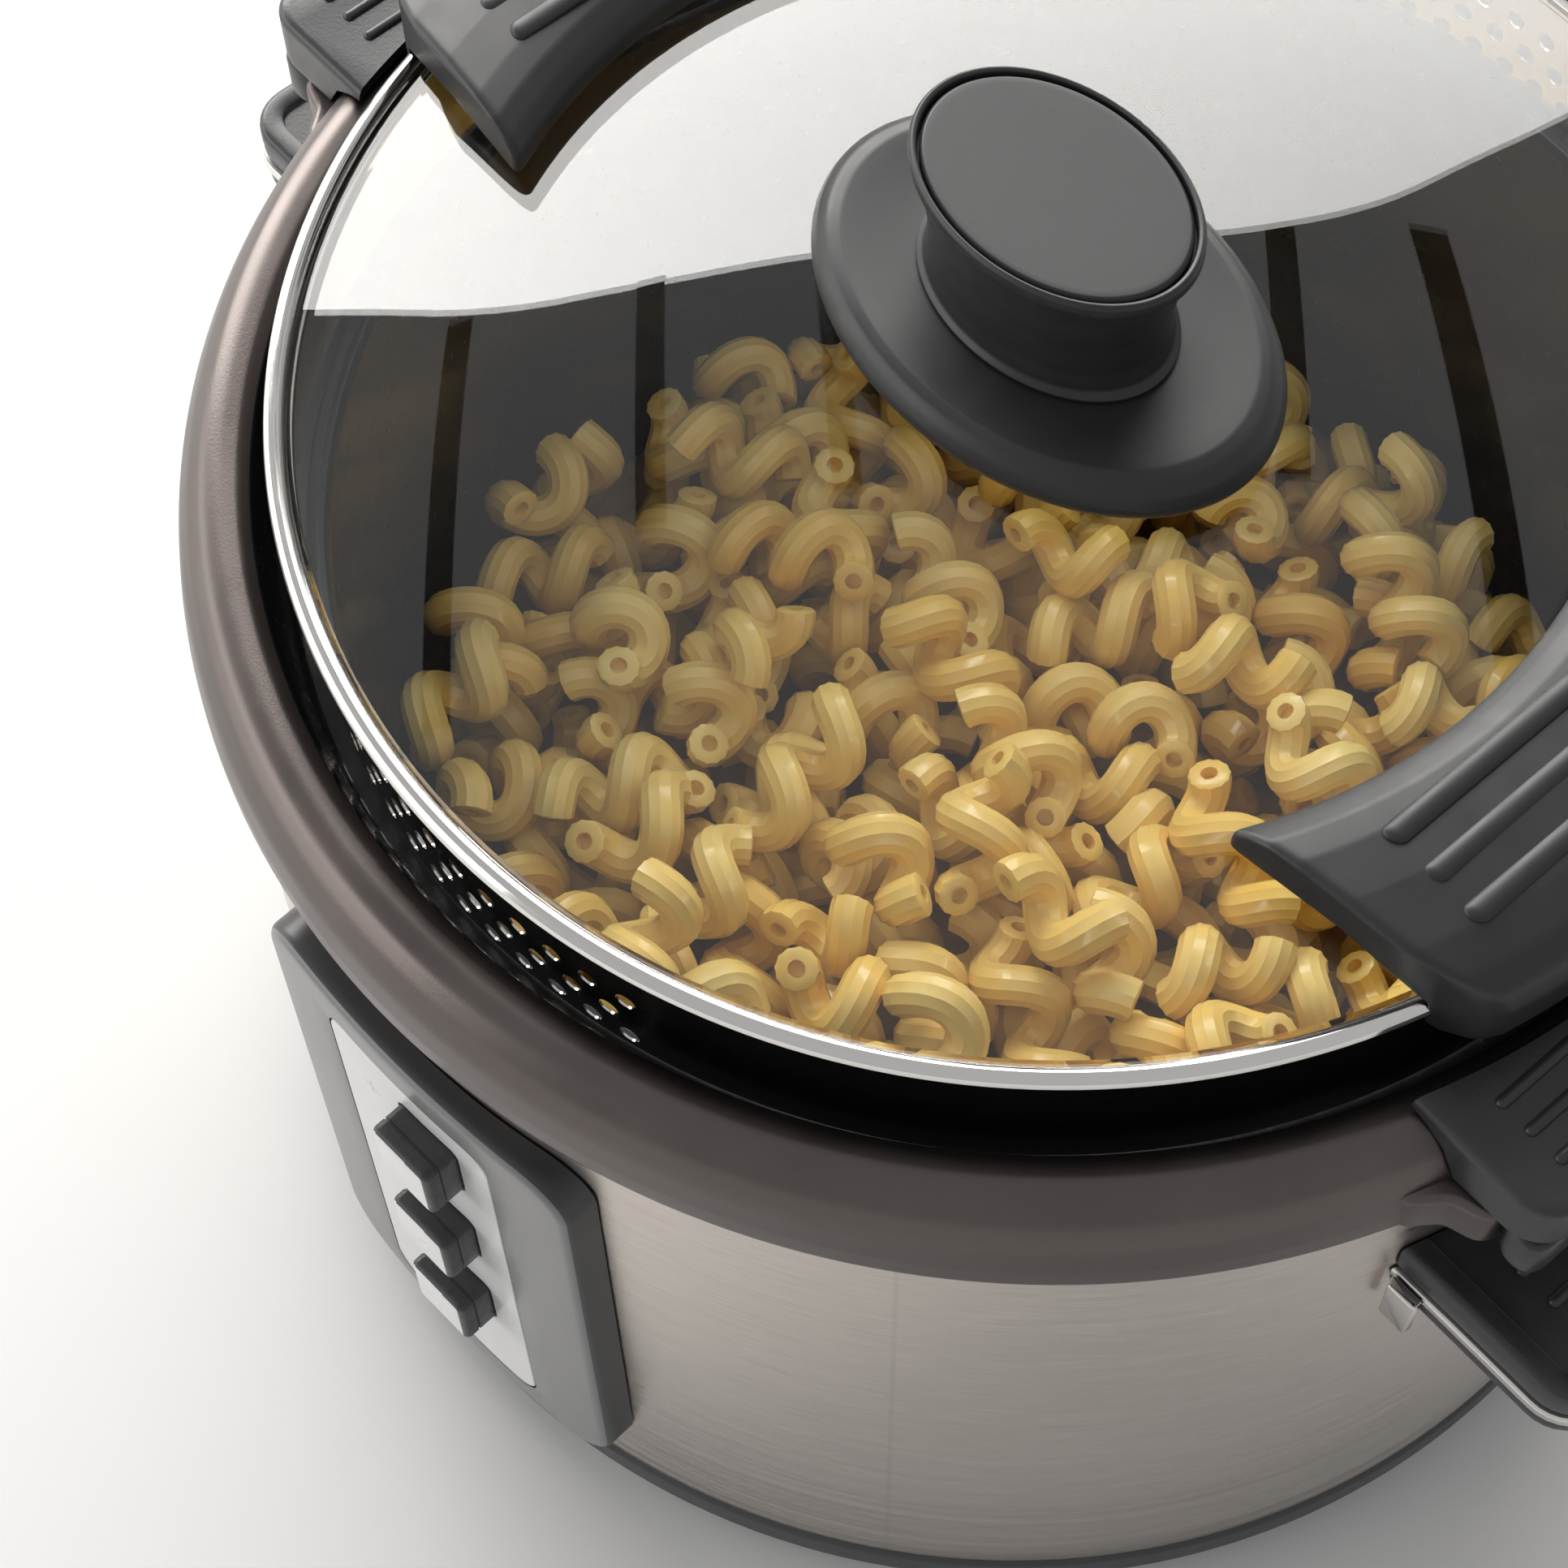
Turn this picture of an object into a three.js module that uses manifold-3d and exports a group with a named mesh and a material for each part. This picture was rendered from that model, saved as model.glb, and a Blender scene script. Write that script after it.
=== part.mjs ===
// Cavatappi pasta in its electric pot: a cast cooking pot standing in a steel-banded
// heater body, under a clear glass lid with a strainer ring. Millimetres, +Z up.
// Origin: middle of the footprint on the table. +X and -X: the two handles. -Y: front.
import * as THREE from 'three';
import Module from 'manifold-3d';
import { mergeVertices } from 'three/addons/utils/BufferGeometryUtils.js';

const wasm = await Module();
wasm.setup();

// ---- Driving sizes ------------------------------------------------------------
const GAP = 0.3;                 // clear space between neighbouring pieces
const ROUND = 32;                // sides of the large turned pieces
const OVAL = 24;                 // sides of the oval knob pieces

const FOOT_H = 3.7;              // rubber feet
const BASE_R = 134.6;            // plastic base ring
const BASE_BOTTOM = FOOT_H + GAP;
const BAND_BOTTOM = 18;          // steel band of the heater body
const BAND_TOP = 166;
const BAND_R = 134;
const BAND_T = 1.6;

const POT_BOTTOM = 24;           // cooking pot
const POT_FLOOR_R = 109.6;       // inside radius low in the pot
const POT_FLOOR = 30;
const LEDGE_Z = 167.9;           // step the strainer ring stands on
const LIP_R = 124;               // inner lip of the collar
const LIP_Z = 184;
const COLLAR_R = 137.4;
const COLLAR_BOTTOM = BAND_TOP + GAP;
const COLLAR_TOP = 186.6;

const RIM_TOP = 200.4;           // rolled rim of the lid
const RIM_R = 120.2;
const SKIRT_R = 117.3;           // strainer skirt under the rim
const SKIRT_T = 0.9;
const SKIRT_BOTTOM = LEDGE_Z + 0.4;
const HOLE_D = 3.2;
const HOLE_PITCH_DEG = 3.3;
const HOLE_ROWS = [171.6, 177.3, 183.0];
const HOLE_COLUMNS = 11;

const DOME_R = 114.6;            // radius at which the glass dome has dropped by DOME_H
const GLASS_R = 116.6;           // edge of the domed glass
const GLASS_T = 3.8;
const GLASS_EDGE_Z = 199.3;
const DOME_H = 13.7;

const KNOB_A = 42.2;             // half length of the knob plate along X
const KNOB_RATIO = 0.685;        // its width over its length
const STEM_A = 25.3;
const KNOB_TOP = 245.7;

const GRIP_IN_R = 88;            // lid grips, crescent pads over the rim
const GRIP_OUT_R = 127;
const GRIP_HALF_IN = 39;
const GRIP_HALF_OUT = 33;
const GRIP_TOP = 213.6;

const HANDLE_HALF = 41;          // pot handles
const HANDLE_OUT = 148;
const HANDLE_TOP = 190;
const HANDLE_SPLIT = 177.6;
const HANDLE_BOTTOM = 168;

const SIDE_HALF = 42;            // heater body handles
const SIDE_OUT = 165;
const SIDE_TOP = 146;
const SIDE_BOTTOM = 131;
const TRIM_Z = 136.2;
const TRIM_T = 2.4;

const PANEL_TURN_DEG = 3;        // control panel stands a little toward the +X handle
const PANEL_W = 70;
const PANEL_BOTTOM = 33;
const PANEL_TOP = 155;
const PANEL_FRONT = 139;
const PANEL_BOW_R = 230;
const INSET_W = 37;
const INSET_BOTTOM = 40;
const INSET_TOP = 146;
const BUTTON_W = 13;
const BUTTON_H = 15;
const BUTTON_X = 5;
const BUTTON_Z = [132, 103, 74];
const BUTTON_FRONT = 145;
const BUTTON_BACK = 137.2;
const POCKET_BACK = 135.6;

const INLET_W = 40;              // power inlet at the back
const INLET_BOTTOM = 30;
const INLET_TOP = 66;
const INLET_OUT = 144.85;        // as far back as the buttons stand forward
const SOCKET_W = 24;
const SOCKET_DEPTH = 7;

const HEAP_R = 108.6;            // heap of pasta
const HEAP_BOTTOM = POT_FLOOR + GAP;
const HEAP_Z = 90;
const HEAP_CROWN = 14;
const HEAP_TILT = 0.2;

const group = new THREE.Group();

// ---- Helpers ------------------------------------------------------------------
const rad = (deg) => THREE.MathUtils.degToRad(deg);

// Geometry with joined corners and no collapsed faces
function welded(geometry) {
  const bare = geometry.clone();
  bare.deleteAttribute('normal');
  bare.deleteAttribute('uv');
  const joined = mergeVertices(bare, 1e-3);
  const kept = [];
  const list = joined.index.array;
  for (let i = 0; i < list.length; i += 3) {
    const [a, b, c] = [list[i], list[i + 1], list[i + 2]];
    if (a !== b && b !== c && c !== a) kept.push(a, b, c);
  }
  joined.setIndex(kept);
  return joined;
}

function toSolid(geometry) {
  const joined = welded(geometry);
  return new wasm.Manifold(new wasm.Mesh({
    numProp: 3,
    vertProperties: new Float32Array(joined.attributes.position.array),
    triVerts: new Uint32Array(joined.index.array),
  }));
}

function toGeometry(manifold) {
  const mesh = manifold.getMesh();
  const geometry = new THREE.BufferGeometry();
  const corners = new Float32Array(mesh.vertProperties);
  geometry.setAttribute('position', new THREE.BufferAttribute(corners, 3));
  geometry.setIndex(new THREE.BufferAttribute(new Uint32Array(mesh.triVerts), 1));
  return geometry;
}

// Closed outline of [radius, height] pairs turned about the upright axis
function turned(outline, sides = ROUND, closed = true) {
  const points = outline.map(([r, z]) => new THREE.Vector2(r, z));
  if (closed) points.push(points[0].clone());
  const geometry = new THREE.LatheGeometry(points, sides);
  geometry.rotateX(Math.PI / 2);
  return geometry;
}

// Outline in plan pushed up from z0 to z1, with softened edges if asked for
function slab(shape, z0, z1, edge = 0, steps = 1) {
  const geometry = new THREE.ExtrudeGeometry(shape, {
    depth: z1 - z0 - 2 * edge,
    bevelEnabled: edge > 0,
    bevelThickness: edge,
    bevelSize: edge,
    bevelOffset: -edge,
    bevelSegments: steps,
    curveSegments: 2,
  });
  geometry.translate(0, 0, z0 + edge);
  return geometry;
}

// Outline in the front plane (x, z) pushed from depth y = -front back to y = -back
function frontSlab(shape, back, front, edge = 0, steps = 1) {
  const geometry = slab(shape, 0, front - back, edge, steps);
  geometry.rotateX(Math.PI / 2);
  geometry.translate(0, -back, 0);
  return geometry;
}

function roundedRect(x0, y0, x1, y1, r) {
  const shape = new THREE.Shape();
  shape.moveTo(x0 + r, y0);
  shape.lineTo(x1 - r, y0);
  shape.absarc(x1 - r, y0 + r, r, -Math.PI / 2, 0, false);
  shape.lineTo(x1, y1 - r);
  shape.absarc(x1 - r, y1 - r, r, 0, Math.PI / 2, false);
  shape.lineTo(x0 + r, y1);
  shape.absarc(x0 + r, y1 - r, r, Math.PI / 2, Math.PI, false);
  shape.lineTo(x0, y0 + r);
  shape.absarc(x0 + r, y0 + r, r, Math.PI, 1.5 * Math.PI, false);
  return shape;
}

// Long rib with round ends, running along Y
function ribShape(x, half, length) {
  const shape = new THREE.Shape();
  const end = length / 2 - half;
  shape.moveTo(x + half, -end);
  shape.lineTo(x + half, end);
  shape.absarc(x, end, half, 0, Math.PI, false);
  shape.lineTo(x - half, -end);
  shape.absarc(x, -end, half, Math.PI, 2 * Math.PI, false);
  return shape;
}

function upright(radius, z0, z1, sides = ROUND) {
  return toSolid(turned([[0, z0], [radius, z0], [radius, z1], [0, z1]], sides, false));
}

function add(name, geometry, color, options = {}) {
  const material = new THREE.MeshStandardMaterial({ color, roughness: 0.5, ...options });
  const mesh = new THREE.Mesh(geometry, material);
  mesh.name = name;
  group.add(mesh);
}

// The same solid on the +X side and, half a turn away, on the -X side
function addPair(name, manifold, color, options = {}) {
  add(`${name}_right`, toGeometry(manifold), color, options);
  add(`${name}_left`, toGeometry(manifold.rotate([0, 0, 180])), color, options);
}

// ---- Heater body --------------------------------------------------------------
function baseTray() {
  const floor = BASE_BOTTOM + 3.5;
  return turned([
    [0, BASE_BOTTOM], [128, BASE_BOTTOM], [133, BASE_BOTTOM + 2.2],
    [BASE_R, BASE_BOTTOM + 6], [BASE_R, 16.3], [BASE_R - 1.4, 16.8],
    [BASE_R - 1.4, BAND_BOTTOM - GAP], [130.6, BAND_BOTTOM - GAP],
    [130.6, 12], [126, floor], [0, floor],
  ], ROUND, false);
}

function steelBand() {
  const inner = BAND_R - BAND_T;
  return turned([
    [inner, BAND_BOTTOM], [BAND_R, BAND_BOTTOM], [BAND_R, BAND_TOP], [inner, BAND_TOP],
  ]);
}

function addFeet() {
  const names = ['foot_front_right', 'foot_back_right', 'foot_back_left', 'foot_front_left'];
  names.forEach((name, i) => {
    const turn = rad(-45 + 90 * i);
    const foot = turned([[0, 0], [8.4, 0], [9.6, 1.4], [9.6, FOOT_H], [0, FOOT_H]], 14, false);
    foot.translate(108 * Math.cos(turn), 108 * Math.sin(turn), 0);
    add(name, foot, 0x1c1c1c, { roughness: 0.9 });
  });
}

// ---- Cooking pot with its cast collar and handle lugs ---------------------------
function lug() {
  const shape = new THREE.Shape();
  shape.moveTo(124, -46);
  shape.lineTo(128.5, -49);
  shape.quadraticCurveTo(132, -42.5, 139.4, -41);
  shape.lineTo(139.4, 41);
  shape.quadraticCurveTo(132, 42.5, 128.5, 49);
  shape.lineTo(124, 46);
  shape.closePath();
  return toSolid(slab(shape, COLLAR_BOTTOM + 1.4, HANDLE_SPLIT, 1));
}

function cookingPot() {
  const shell = toSolid(turned([
    [0, POT_BOTTOM], [98, POT_BOTTOM], [112, 32], [116.5, 50], [119, 158],
    [126, COLLAR_BOTTOM], [COLLAR_R, COLLAR_BOTTOM], [COLLAR_R, 173], [136.3, 179],
    [133.6, 184], [130, COLLAR_TOP], [126, 186], [LIP_R, LIP_Z], [121.6, 176],
    [120.6, LEDGE_Z], [115.4, LEDGE_Z], [113.4, LEDGE_Z - 2], [POT_FLOOR_R, 58],
    [106, 41], [97, 32], [86, POT_FLOOR], [0, POT_FLOOR],
  ], ROUND, false));
  const right = lug();
  return shell.add(right).add(right.rotate([0, 0, 180]));
}

// ---- Lid ----------------------------------------------------------------------
function lidRing() {
  const inner = SKIRT_R - SKIRT_T;
  let ring = toSolid(turned([
    [inner, SKIRT_BOTTOM], [SKIRT_R, SKIRT_BOTTOM], [SKIRT_R, 196.4], [119.2, 197],
    [RIM_R, 198.2], [119.6, 199.6], [118.4, RIM_TOP], [117.3, 200], [116.9, 199.2],
    [116.9, 194.7], [112.6, 194.7], [112.6, 194], [inner, 193.2],
  ]));
  const drill = new THREE.CylinderGeometry(HOLE_D / 2, HOLE_D / 2, 6, 6);
  const cuts = [];
  for (const side of [0, 180]) {
    HOLE_ROWS.forEach((z, row) => {
      const odd = row === 1;
      const count = odd ? HOLE_COLUMNS - 1 : HOLE_COLUMNS;
      for (let i = 0; i < count; i += 1) {
        const turn = (i - (count - 1) / 2) * HOLE_PITCH_DEG + side;
        const hole = drill.clone();
        hole.translate(0, -(SKIRT_R - SKIRT_T / 2), z);
        hole.rotateZ(rad(turn));
        cuts.push(toSolid(hole));
      }
    });
  }
  for (const cut of cuts) ring = ring.subtract(cut);
  return toGeometry(ring);
}

const domeZ = (r) => GLASS_EDGE_Z + DOME_H * (1 - (r / DOME_R) ** 2);

function glassDome() {
  const stops = [0, 30, 58, 82, 100, GLASS_R];
  const below = stops.map((r) => [r, domeZ(r) - GLASS_T]);
  const above = stops.map((r) => [r, domeZ(r)]).reverse();
  return turned([...below, ...above], ROUND, false);
}

function oval(outline) {
  const geometry = turned(outline, OVAL, false);
  geometry.scale(1, KNOB_RATIO, 1);
  return geometry;
}

function addKnob() {
  const z = domeZ(0) + GAP;
  add('knob_plate', oval([
    [0, z], [40.6, z], [KNOB_A, z + 1.2], [KNOB_A, z + 3.2], [40.4, z + 6.2],
    [37.4, z + 7.4], [33, z + 7.1], [26, z + 6.7], [0, z + 6.7],
  ]), 0x3a3a3c, { roughness: 0.6 });
  const foot = z + 6.7 + GAP;
  add('knob_stem', oval([
    [0, foot], [23.4, foot], [22, foot + 1.7], [21.3, foot + 5], [21.7, foot + 11],
    [23.2, foot + 18], [24.9, foot + 22.4], [STEM_A, KNOB_TOP - 1.2],
    [24.9, KNOB_TOP], [23.9, KNOB_TOP - 0.2], [23.9, KNOB_TOP - 2.6],
    [0, KNOB_TOP - 2.6],
  ]), 0x39393b, { roughness: 0.6 });
  const seat = KNOB_TOP - 2.6 + GAP;
  add('knob_insert', oval([
    [0, seat], [23.4, seat], [23.4, KNOB_TOP - 0.6], [22.2, KNOB_TOP - 0.5],
    [12, KNOB_TOP - 1.1], [0, KNOB_TOP - 1.3],
  ]), 0x3c3c3e, { roughness: 0.6 });
}

// Crescent pad: a turned section trimmed in plan to the pad's outline, with three ribs
function lidGrip() {
  const section = toSolid(turned([
    [GRIP_IN_R, domeZ(GRIP_IN_R) + GAP + 0.3], [104, domeZ(GRIP_IN_R) + GAP + 0.3],
    [121, RIM_TOP + GAP + 0.2], [121, 194.6], [125, 194.2], [GRIP_OUT_R, 197],
    [GRIP_OUT_R, 205], [124, 210.2], [118, 212.2], [104, GRIP_TOP], [97, GRIP_TOP],
    [92, 212.2], [89, 209.6],
  ], 56));
  const plan = new THREE.Shape();
  plan.moveTo(70, -GRIP_HALF_IN - 1);
  plan.lineTo(80, -GRIP_HALF_IN);
  plan.lineTo(112, -GRIP_HALF_OUT - 1);
  plan.quadraticCurveTo(122, -GRIP_HALF_OUT + 1, 126, -18);
  plan.lineTo(134, 0);
  plan.lineTo(126, 18);
  plan.quadraticCurveTo(122, GRIP_HALF_OUT - 1, 112, GRIP_HALF_OUT + 1);
  plan.lineTo(80, GRIP_HALF_IN);
  plan.lineTo(70, GRIP_HALF_IN + 1);
  plan.closePath();
  let pad = section.intersect(toSolid(slab(plan, 190, 216)));
  for (const x of [98, 105.6, 113.2]) {
    const rib = ribShape(x, 1.7, 50);
    pad = pad.add(toSolid(slab(rib, 208, GRIP_TOP + 0.9 - (x - 98) * 0.06, 0.4)));
  }
  return pad;
}

// ---- Pot handles ----------------------------------------------------------------
// Everything the pot handles must keep clear of: the collar and the lid above it
function collarRoom() {
  return toSolid(turned([
    [0, 150], [COLLAR_R + 0.5, 150], [COLLAR_R + 0.5, 173.5], [137, 179.4], [134.2, 184.5],
    [130.4, COLLAR_TOP + 0.5], [127.5, COLLAR_TOP + 0.5], [127.5, 210], [0, 210],
  ], ROUND, false));
}

function handleTop() {
  const plan = roundedRect(112, -HANDLE_HALF, HANDLE_OUT, HANDLE_HALF, 7);
  let grip = toSolid(slab(plan, HANDLE_SPLIT + GAP, HANDLE_TOP, 1.2));
  for (const x of [129, 135.2, 141.4]) {
    const rib = ribShape(x, 1.2, 66);
    grip = grip.add(toSolid(slab(rib, HANDLE_TOP - 3, HANDLE_TOP + 0.8, 0.3)));
  }
  return grip.subtract(collarRoom());
}

function handleBottom() {
  const half = HANDLE_HALF - 0.8;
  const plan = roundedRect(139.4 + GAP, -half, HANDLE_OUT - 0.8, half, 3.2);
  return toSolid(slab(plan, HANDLE_BOTTOM, HANDLE_SPLIT, 1.2));
}

// ---- Heater body handles ----------------------------------------------------------
function sidePlan(inset) {
  return roundedRect(118, -SIDE_HALF + inset, SIDE_OUT - inset, SIDE_HALF - inset, 9);
}

function sideTop(room) {
  let cap = toSolid(slab(sidePlan(0.6), TRIM_Z + TRIM_T + GAP, SIDE_TOP, 1.2));
  const tray = roundedRect(110, -SIDE_HALF + 5, SIDE_OUT - 5, SIDE_HALF - 5, 6);
  cap = cap.subtract(toSolid(slab(tray, SIDE_TOP - 1.2, SIDE_TOP + 2)));
  for (const x of [142, 148.5, 155]) {
    const rib = ribShape(x, 1.2, 62);
    cap = cap.add(toSolid(slab(rib, SIDE_TOP - 3, SIDE_TOP - 0.3, 0.3)));
  }
  return cap.subtract(room);
}

function sideTrim(room) {
  const plate = toSolid(slab(sidePlan(0), TRIM_Z, TRIM_Z + TRIM_T));
  return plate.subtract(room);
}

function sideBottom(room) {
  return toSolid(slab(sidePlan(0.8), SIDE_BOTTOM, TRIM_Z - GAP, 1.2)).subtract(room);
}

// Small bright clip that closes the trim against the steel band
function trimClip(sign) {
  const y = sign * (SIDE_HALF + 2.4);
  const plan = roundedRect(122, Math.min(y, y - sign * 2), 134.4, Math.max(y, y - sign * 2), 0.6);
  return toSolid(slab(plan, 127.5, TRIM_Z + TRIM_T));
}

// ---- Control panel ----------------------------------------------------------------
function bow(radius) {
  const bowed = upright(PANEL_BOW_R, 10, 180, 108);
  return bowed.translate([0, PANEL_BOW_R - radius, 0]);
}

function buttonShape(i, grow) {
  const w = BUTTON_W / 2 + grow;
  const h = BUTTON_H / 2 + grow;
  const z = BUTTON_Z[i];
  return roundedRect(BUTTON_X - w, z - h, BUTTON_X + w, z + h, 3);
}

function addPanel(room) {
  const face = roundedRect(-PANEL_W / 2, PANEL_BOTTOM, PANEL_W / 2, PANEL_TOP, 9);
  const insetFace = (grow) => roundedRect(
    -INSET_W / 2 - grow, INSET_BOTTOM - grow, INSET_W / 2 + grow, INSET_TOP + grow, 5);
  let bezel = toSolid(frontSlab(face, 100, 145)).intersect(bow(PANEL_FRONT));
  const recess = toSolid(frontSlab(insetFace(GAP), 100, 145)).subtract(bow(PANEL_FRONT - 1.1));
  bezel = bezel.subtract(recess);
  let inset = toSolid(frontSlab(insetFace(0), 100, 145)).intersect(bow(PANEL_FRONT - 0.1));
  inset = inset.subtract(bow(PANEL_FRONT - 0.8));
  BUTTON_Z.forEach((z, i) => {
    const well = toSolid(frontSlab(buttonShape(i, 0.4), POCKET_BACK, 146));
    bezel = bezel.subtract(well);
    inset = inset.subtract(well);
  });
  const turn = [0, 0, PANEL_TURN_DEG];
  bezel = bezel.rotate(turn).subtract(room);
  add('panel', toGeometry(bezel), 0xb9b9b9, { roughness: 0.4 });
  add('panel_inset', toGeometry(inset.rotate(turn)), 0xd8d8d8, { roughness: 0.35 });
  ['button_top', 'button_middle', 'button_bottom'].forEach((name, i) => {
    const button = toSolid(frontSlab(buttonShape(i, 0), BUTTON_BACK, BUTTON_FRONT, 0.6));
    add(name, toGeometry(button.rotate(turn)), 0x4a4a4c, { roughness: 0.7 });
  });
}

// ---- Power inlet --------------------------------------------------------------------
function powerInlet(room) {
  const face = roundedRect(-INLET_W / 2, INLET_BOTTOM, INLET_W / 2, INLET_TOP, 4);
  const hole = roundedRect(-SOCKET_W / 2, INLET_BOTTOM + 9, SOCKET_W / 2, INLET_TOP - 9, 3);
  const socket = toSolid(frontSlab(hole, INLET_OUT - SOCKET_DEPTH, INLET_OUT + 2));
  const housing = toSolid(frontSlab(face, 125, INLET_OUT, 1.2)).subtract(socket);
  return housing.rotate([0, 0, 180]).subtract(room);
}

// ---- Pasta heap -------------------------------------------------------------------
// Height of the heap: crowned, higher toward the front right, uneven from piece to piece
function heapZ(x, y) {
  const r = Math.hypot(x, y);
  const lean = HEAP_TILT * (0.55 * x - 0.83 * y);
  const crown = HEAP_CROWN * (1 - (r / HEAP_R) ** 2);
  const lumps = 2.6 * Math.sin(x / 9 + 1.3) * Math.cos(y / 8)
    + 1.8 * Math.sin(x / 5.3 - y / 6.1);
  return HEAP_Z + lean + crown + lumps;
}

function pastaHeap() {
  const turnSteps = 28;
  const rings = [0.2, 0.4, 0.6, 0.8, 0.94, 1];
  const corners = [0, 0, heapZ(0, 0)];
  const faces = [];
  const wall = (turn) => 1 - 0.012 * (1 + Math.sin(7 * turn));
  const top = HEAP_R - 1.4;
  for (const share of rings) {
    for (let i = 0; i < turnSteps; i += 1) {
      const turn = (2 * Math.PI * i) / turnSteps;
      const r = top * share * wall(turn);
      const x = r * Math.cos(turn);
      const y = r * Math.sin(turn);
      corners.push(x, y, heapZ(x, y) - (share === 1 ? 5 : 0));
    }
  }
  const lower = [[106.5, 60], [103.5, 44], [95, 35], [84, HEAP_BOTTOM]];
  for (const [r, z] of lower) {
    for (let i = 0; i < turnSteps; i += 1) {
      const turn = (2 * Math.PI * i) / turnSteps;
      corners.push(r * Math.cos(turn), r * Math.sin(turn), z);
    }
  }
  const bands = rings.length + lower.length;
  const at = (band, i) => 1 + band * turnSteps + (i % turnSteps);
  for (let i = 0; i < turnSteps; i += 1) {
    faces.push(0, at(0, i), at(0, i + 1));
    for (let band = 0; band < bands - 1; band += 1) {
      faces.push(at(band, i), at(band + 1, i), at(band + 1, i + 1));
      faces.push(at(band, i), at(band + 1, i + 1), at(band, i + 1));
    }
    faces.push(corners.length / 3, at(bands - 1, i + 1), at(bands - 1, i));
  }
  corners.push(0, 0, HEAP_BOTTOM);
  const geometry = new THREE.BufferGeometry();
  geometry.setAttribute('position', new THREE.BufferAttribute(new Float32Array(corners), 3));
  geometry.setIndex(faces);
  return geometry;
}

// ---- Assembly ---------------------------------------------------------------------
const sideRoom = upright(BAND_R + GAP + 0.2, 10, 180);

addFeet();
add('base', baseTray(), 0x3b3b3b, { roughness: 0.6 });
add('steel_band', steelBand(), 0xb5aca4, { metalness: 1, roughness: 0.35 });
addPanel(sideRoom);
add('power_inlet', toGeometry(powerInlet(sideRoom)), 0x2b2b2c, { roughness: 0.6 });
addPair('side_handle_top', sideTop(sideRoom), 0x1d1d1e, { roughness: 0.5 });
addPair('side_handle_bottom', sideBottom(sideRoom), 0x1f1f20, { roughness: 0.5 });
addPair('side_handle_trim', sideTrim(sideRoom), 0xc8c4bf, { metalness: 1, roughness: 0.2 });
addPair('trim_clip_a', trimClip(-1).subtract(sideRoom), 0xd6d4d0, { metalness: 1 });
addPair('trim_clip_b', trimClip(1).subtract(sideRoom), 0xd6d4d0, { metalness: 1 });
add('pot', toGeometry(cookingPot()), 0x5d5552, { metalness: 0.7, roughness: 0.4 });
addPair('pot_handle_top', handleTop(), 0x2c2c2e, { roughness: 0.6 });
addPair('pot_handle_bottom', handleBottom(), 0x2a2a2c, { roughness: 0.6 });
add('pasta', pastaHeap(), 0xd8b45a, { roughness: 0.5 });
add('lid_ring', lidRing(), 0xd5d3d0, { metalness: 1, roughness: 0.15 });
add('lid_glass', glassDome(), 0xe8f0f0, { roughness: 0.05, transparent: true, opacity: 0.35 });
addKnob();
addPair('lid_grip', lidGrip(), 0x38383a, { roughness: 0.6 });

export default group;
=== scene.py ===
# Cavatappi pasta in its electric pot: corkscrew pasta in a cast pot, set in a steel-banded
# heater body with a control panel, under a clear glass lid with a strainer ring.
# Sizes are in millimetres where a value is named with MM beside it; the scene is in metres.
import math
import bmesh
import bpy
import numpy as np
from mathutils import Matrix, Vector


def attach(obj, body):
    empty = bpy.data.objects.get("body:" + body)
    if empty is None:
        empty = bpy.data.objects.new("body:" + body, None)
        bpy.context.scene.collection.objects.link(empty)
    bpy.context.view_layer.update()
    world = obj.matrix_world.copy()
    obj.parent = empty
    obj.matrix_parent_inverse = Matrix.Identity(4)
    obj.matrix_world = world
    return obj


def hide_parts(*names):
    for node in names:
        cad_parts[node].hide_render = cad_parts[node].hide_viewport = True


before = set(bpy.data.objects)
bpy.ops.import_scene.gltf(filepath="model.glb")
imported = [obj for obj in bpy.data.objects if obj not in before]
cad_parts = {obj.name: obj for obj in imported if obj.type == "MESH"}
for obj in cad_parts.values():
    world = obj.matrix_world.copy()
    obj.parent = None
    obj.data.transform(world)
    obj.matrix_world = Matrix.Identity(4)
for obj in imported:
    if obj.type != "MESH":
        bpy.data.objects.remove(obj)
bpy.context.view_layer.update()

MM = 0.001

# ---- Named sizes, millimetres ---------------------------------------------------------
ROUND = 192            # sides of the large turned pieces
OVAL = 128             # sides of the oval knob pieces
BAND_R = 134.0
BASE_R = 134.6
BAND_BOTTOM = 18.0
BAND_TOP = 166.0
LEDGE_Z = 167.9
COLLAR_BOTTOM = 166.3
COLLAR_R = 137.4
COLLAR_TOP = 186.6
SKIRT_R = 117.3
SKIRT_T = 0.35
RIM_TOP = 200.4
HOLE_D = 3.5
HOLE_PITCH = math.radians(3.3)
HOLE_COLUMNS = 11
HOLE_ROWS = 3
HOLE_FIRST_Z = 171.6
HOLE_ROW_STEP = 5.7
DOME_R = 114.6
GLASS_R = 116.6
GLASS_T = 3.8
GLASS_EDGE_Z = 199.3
DOME_H = 13.7
KNOB_RATIO = 0.685
KNOB_TOP = 245.7
GRIP_IN_R = 88.0
GRIP_OUT_R = 127.0
GRIP_TOP = 213.6
HANDLE_HALF = 41.0
HANDLE_OUT = 148.0
HANDLE_TOP = 190.0
HANDLE_SPLIT = 177.6
SIDE_HALF = 42.0
SIDE_OUT = 165.0
SIDE_TOP = 146.0
SIDE_BOTTOM = 131.0
TRIM_Z = 136.2
TRIM_T = 2.4
PANEL_TURN = math.radians(3.0)
PANEL_W = 70.0
PANEL_BOTTOM = 33.0
PANEL_TOP = 155.0
PANEL_FRONT = 139.0
PANEL_BOW_R = 230.0
INSET_W = 37.0
INSET_BOTTOM = 40.0
INSET_TOP = 146.0
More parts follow.
